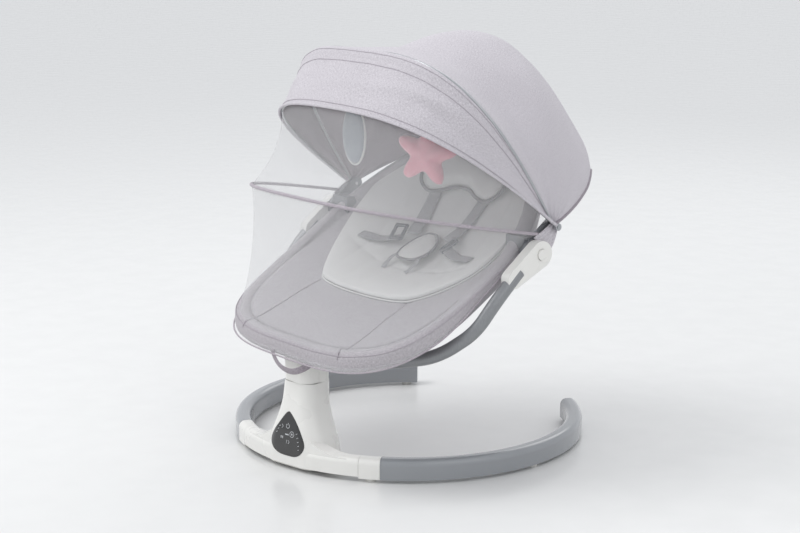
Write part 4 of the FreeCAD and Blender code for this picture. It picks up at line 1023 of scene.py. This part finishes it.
class SWING_OT_harness(bpy.types.Operator):
    """Harness webbing, crotch pad and buckles"""
    bl_idname = "swing.harness"
    bl_label = "Harness"

    def belt(self, name, points, width, node):
        """A flat webbing strap laid over the liner, for both sides as one piece."""
        made = []
        for side in (1.0, -1.0):
            path = [on_seat(side * x, y, sling_z(x, y) + 20.0 + rise) for x, y, rise in points]
            made.append(tube(name, smooth_path(path, 6), width * 0.5 * MM, (MATERIALS["webbing"],), sides=12,
                             flat=0.11, up=Vector((0.0, -0.35, 1.0)).normalized()))
        dress(join(made, name), "seat", node)

    def execute(self, context):
        shoulder = ((64, 332, 2), (60, 312, 4), (55, 292, 6), (50, 276, 10), (46, 262, 12))
        waist = ((148, 226, 0), (128, 229, 3), (104, 233, 5), (82, 240, 9), (64, 246, 12))
        crotch = ((30, 184, -2), (33, 196, 4), (32, 208, 9), (22, 220, 12), (14, 230, 10))
        self.belt("shoulder_webbing", shoulder, 27.0, "shoulder_straps")
        self.belt("waist_webbing", waist, 20.0, "waist_straps")
        self.belt("crotch_webbing", crotch, 9.0, "crotch_straps")
        shape = [(0.0, 204.0), (22.0, 208.0), (33.0, 226.0), (31.0, 248.0), (18.0, 266.0), (0.0, 271.0),
                 (-18.0, 266.0), (-31.0, 248.0), (-33.0, 226.0), (-22.0, 208.0)]
        edge = smooth_outline(shape, 6)

        def under(x, y):
            return sling_z(x, y) + 24.0

        def over(x, y):
            return sling_z(x, y) + 38.0

        pad = cushion("crotch_pad_cloth", edge, under, over, (MATERIALS["pillow"],), rings=10, power=2.4)
        puff(pad, 0.004, 3.0, 0.003)
        dress(pad, "seat", "crotch_pad")
        line = [on_seat(x, y, sling_z(x, y) + 31.0) for x, y in edge]
        dress(tube("crotch_piping", line, 0.0026, (MATERIALS["piping"],), closed=True), "seat")
        self.buckles()
        return {"FINISHED"}

    def buckles(self):
        """Two moulded ring buckles, a plate with its middle cut out and its edges rounded."""
        made = []
        for x, y, turn, lift in ((-72.0, 252.0, 22.0, 35.0), (64.0, 252.0, -30.0, 33.0)):
            bpy.ops.object.select_all(action="DESELECT")
            bpy.ops.mesh.primitive_cube_add(size=1.0, location=(0.0, 0.0, 0.0))
            ring = bpy.context.active_object
            ring.scale = (0.026, 0.036, 0.005)
            bpy.ops.object.transform_apply(location=False, rotation=False, scale=True)
            bpy.ops.object.mode_set(mode="EDIT")
            bpy.ops.mesh.select_all(action="DESELECT")
            bpy.ops.mesh.select_mode(type="FACE")
            bpy.ops.object.mode_set(mode="OBJECT")
            for face in ring.data.polygons:
                face.select = abs(face.normal.z) > 0.9
            bpy.ops.object.mode_set(mode="EDIT")
            bpy.ops.mesh.inset(thickness=0.006, depth=0.0)
            bpy.ops.mesh.bridge_edge_loops()
            bpy.ops.object.mode_set(mode="OBJECT")
            bevel = ring.modifiers.new("Edge", "BEVEL")
            bevel.width = 0.0016
            bevel.segments = 3
            apply_all(ring)
            place = on_seat(x, y, sling_z(x, y) + lift)
            heading = Matrix.Rotation(REST_TURN + math.radians(turn), 4, "Z")
            tilt = Matrix.Rotation(math.radians(38.0), 4, "X")
            ring.data.transform(Matrix.Translation(place) @ heading @ tilt)
            ring.data.materials.append(MATERIALS["buckle"])
            shade_smooth(ring)
            made.append(ring)
        dress(join(made, "ring_buckles"), "seat", "harness_buckles")


class SWING_OT_net(bpy.types.Operator):
    """Mosquito net above and below its bow, with bindings"""
    bl_idname = "swing.net"
    bl_label = "Mosquito net"

    def execute(self, context):
        count = 110
        steps = []
        for j in range(count + 1):
            side = 2.0 * min(j, count - j) / count
            turn = math.radians(1.2 + 88.8 * side ** 1.6)
            steps.append(turn if j <= count // 2 else math.pi - turn)
        brim = [arch(t, 307.0, 53.0, 276.0, BOW_POWER, CANOPY_PIVOT) for t in steps]
        bow = [arch(t, NET_BOW_HEIGHT, NET_BOW_LEAN, 266.0, BOW_POWER, NET_PIVOT) for t in steps]
        hem = []
        for j in range(count + 1):
            turn = math.radians(12.0 - 204.0 * j / count)
            x, y = rim_point(turn, -1.6)
            tuck = ease((RIM_WIDEST - y) / 120.0)
            hem.append((x, y, rim_z(y) - 12.0 - 12.0 * tuck))
        centre = (0.0, 250.0, 400.0)

        def span(first, second, rows, sag, fold):
            """Rows of net from one edge to another, drawn in between them and lightly folded."""
            result = []
            for i in range(rows + 1):
                share = i / rows
                row = []
                for j, (a, b) in enumerate(zip(first, second)):
                    pull = 1.0 - sag * 4.0 * share * (1.0 - share)
                    pull += fold * math.sin(j * 0.55) * share * (1.0 - share) * 0.02
                    row.append(on_seat(*[c + (p * (1.0 - share) + q * share - c) * pull
                                         for p, q, c in zip(a, b, centre)]))
                result.append(row)
            return result

        inside = on_seat(*centre)
        upper = sheet_grid("upper_net", span(brim, bow, 20, 0.045, 0.5), (MATERIALS["net"],),
                           look().net_thickness, inside)
        lower = sheet_grid("lower_net", span(bow, hem, 24, 0.04, 0.4), (MATERIALS["net"],),
                           look().net_thickness, inside)
        edge = tube("net_hem", [on_seat(*p) for p in hem], 0.0014, (MATERIALS["binding"],), sides=8)
        join([lower, edge], "lower_net")
        path = [on_seat(*arch(math.radians(1.5 + 177.0 * j / 120), NET_BOW_HEIGHT, NET_BOW_LEAN, 268.5,
                              BOW_POWER, NET_PIVOT)) for j in range(121)]
        binding = tube("net_bow_binding", path, 0.0028, (MATERIALS["binding"],), sides=12)
        dress(upper, node="net_upper")
        dress(lower, "net", "net_lower")
        dress(binding, "net", "net_bow")
        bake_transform(upper)
        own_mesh(lower)
        return {"FINISHED"}


class SWING_OT_toys(bpy.types.Operator):
    """Plush star and plush oval on their ribbons"""
    bl_idname = "swing.toys"
    bl_label = "Hanging toys"

    def toy(self, name, centre, radius, thickness, turn, material):
        """A stuffed shape from its outline radius at each angle, standing upright."""
        count = 100
        points = []
        uvs = []
        spin = Matrix.Rotation(math.radians(turn), 3, "Z")

        def turned(x, y, z):
            flat = spin @ Vector((x, y, z))
            return on_seat(centre[0] + flat.x, centre[1] + flat.y, centre[2] + flat.z)

        for share, side in pad_levels(14):
            for j in range(count):
                angle = 2.0 * math.pi * j / count
                reach = radius(angle) * share
                depth = side * 0.5 * thickness * (1.0 - share ** 2.4) ** 0.5
                points.append(turned(reach * math.sin(angle), depth, reach * math.cos(angle)))
                uvs.append((reach * math.sin(angle) * MM, reach * math.cos(angle) * MM))
        middles = [(turned(0.0, side * 0.5 * thickness, 0.0), (0.0, 0.0)) for side in (1, -1)]
        return close_pad(name, points, uvs, count, middles, (material,), on_seat(*centre))

    def execute(self, context):
        def star_reach(angle):
            wave = 0.5 + 0.5 * math.cos(5.0 * (angle - math.radians(9.0)))
            return 30.0 + 26.0 * wave ** 1.15

        def oval_reach(angle):
            return 1.0 / math.sqrt((math.sin(angle) / 30.0) ** 2 + (math.cos(angle) / 51.0) ** 2)

        star = self.toy("plush_star", (TOY_X, TOY_Y, STAR_Z), star_reach, 30.0, 30.0, MATERIALS["pink_plush"])
        puff(star, 0.004, 4.0, 0.005)
        dress(star, "star", "star_toy")
        oval = self.toy("plush_oval", (-TOY_X, TOY_Y, OVAL_Z), oval_reach, 24.0, 0.0, MATERIALS["blue_plush"])
        puff(oval, 0.004, 3.0, 0.003)
        dress(oval, "oval", "oval_toy")
        line = []
        for j in range(64):
            angle = 2.0 * math.pi * j / 64
            reach = oval_reach(angle) + 0.6
            line.append(on_seat(-TOY_X + reach * math.sin(angle), TOY_Y, OVAL_Z + reach * math.cos(angle)))
        dress(tube("oval_piping", line, 0.0018, (MATERIALS["pillow"],), closed=True), "oval")
        for x, low, body in ((TOY_X, 566.0, "star"), (-TOY_X, 578.0, "oval")):
            path = [on_seat(x + 0.8 * math.sin(i * 0.9), TOY_Y, low + (TOY_HANG_Z - low) * i / 12)
                    for i in range(13)]
            tape = tube(body + "_ribbon_tape", path, 0.004, (MATERIALS["pillow"],), sides=10, flat=0.15,
                        up=Vector((0.0, 1.0, 0.0)))
            dress(tape, body, body + "_ribbon")
        return {"FINISHED"}


class SWING_OT_controls(bpy.types.Operator):
    """Generic icons on the touch lens"""
    bl_idname = "swing.controls"
    bl_label = "Control icons"

    def on_lens(self, x, z, lift):
        """A place on the lens in front of (x, z), in millimetres, lifted off it a little."""
        lens = NODES["control_panel"]
        hit, place, normal, face = lens.ray_cast(Vector((x * MM, -0.3, z * MM)), Vector((0.0, 1.0, 0.0)))
        if not hit:
            raise RuntimeError("an icon misses the lens")
        return place - Vector((0.0, lift * MM, 0.0))

    def stroke(self, points, width):
        """A thin printed line through places on the lens."""
        path = [self.on_lens(x, z, 0.1) for x, z in points]
        return tube("stroke", path, width * 0.5 * MM, (MATERIALS["icon"],), sides=6, flat=0.3,
                    up=Vector((0.0, 1.0, 0.0)))

    def execute(self, context):
        def ring(x, z, radius, start=0.0, end=360.0, count=20):
            return [(x + radius * math.sin(math.radians(start + (end - start) * i / count)),
                     z + radius * math.cos(math.radians(start + (end - start) * i / count)))
                    for i in range(count + 1)]

        strokes = [
            (ring(0.0, 74.0, 3.6, 40.0, 320.0), 0.9), ([(0.0, 75.0), (0.0, 79.0)], 0.9),
            (ring(11.0, 62.0, 4.6), 0.8), (ring(11.0, 62.0, 1.0), 1.2),
            ([(-4.0, 60.0), (4.0, 60.0)], 2.2), ([(-13.0, 69.0), (-10.5, 72.0), (-13.5, 75.0)], 0.9),
            ([(-13.0, 52.0), (-13.0, 56.0)], 1.8), ([(-9.5, 52.0), (-9.5, 56.0)], 1.8),
            (ring(3.0, 48.0, 2.6, 0.0, 180.0, 10), 0.8), ([(0.0, 45.0), (0.0, 51.0)], 0.8),
        ]
        for number in range(5):
            z = 38.0 + 6.5 * number
            x = 27.0 - 0.008 * (z - 38.0) ** 2
            strokes.append(([(x - 1.5, z), (x + 1.5, z + 1.5)], 0.8))
        for number in range(3):
            z = 60.0 + 5.5 * number
            x = -24.0 + 0.55 * (z - 60.0)
            strokes.append(([(x - 1.2, z), (x + 1.6, z + 1.8)], 0.8))
        made = [self.stroke(points, width) for points, width in strokes]
        dress(join(made, "lens_icons"), "base")
        return {"FINISHED"}


class SWING_PT_panel(bpy.types.Panel):
    """Baby swing parts, sizes and colours"""
    bl_label = "Baby Swing"
    bl_idname = "SWING_PT_panel"
    bl_space_type = "VIEW_3D"
    bl_region_type = "UI"
    bl_category = "Baby Swing"

    def draw(self, context):
        for name in SwingLook.__annotations__:
            self.layout.prop(context.scene.swing_look, name)
        for item in OPERATORS:
            self.layout.operator(item.bl_idname)


OPERATORS = (SWING_OT_stage, SWING_OT_finishes, SWING_OT_seat, SWING_OT_liner, SWING_OT_harness,
             SWING_OT_canopy, SWING_OT_net, SWING_OT_toys, SWING_OT_controls)


def register():
    """Add the classes and the settings."""
    for item in (SwingLook, SWING_PT_panel) + OPERATORS:
        bpy.utils.register_class(item)
    bpy.types.Scene.swing_look = bpy.props.PointerProperty(type=SwingLook)


def unregister():
    """Take them away again."""
    del bpy.types.Scene.swing_look
    for item in reversed((SwingLook, SWING_PT_panel) + OPERATORS):
        bpy.utils.unregister_class(item)


def main():
    """Build everything in order."""
    register()
    for item in OPERATORS:
        group, name = item.bl_idname.split(".")
        getattr(getattr(bpy.ops, group), name)()


if __name__ == "__main__":
    main()
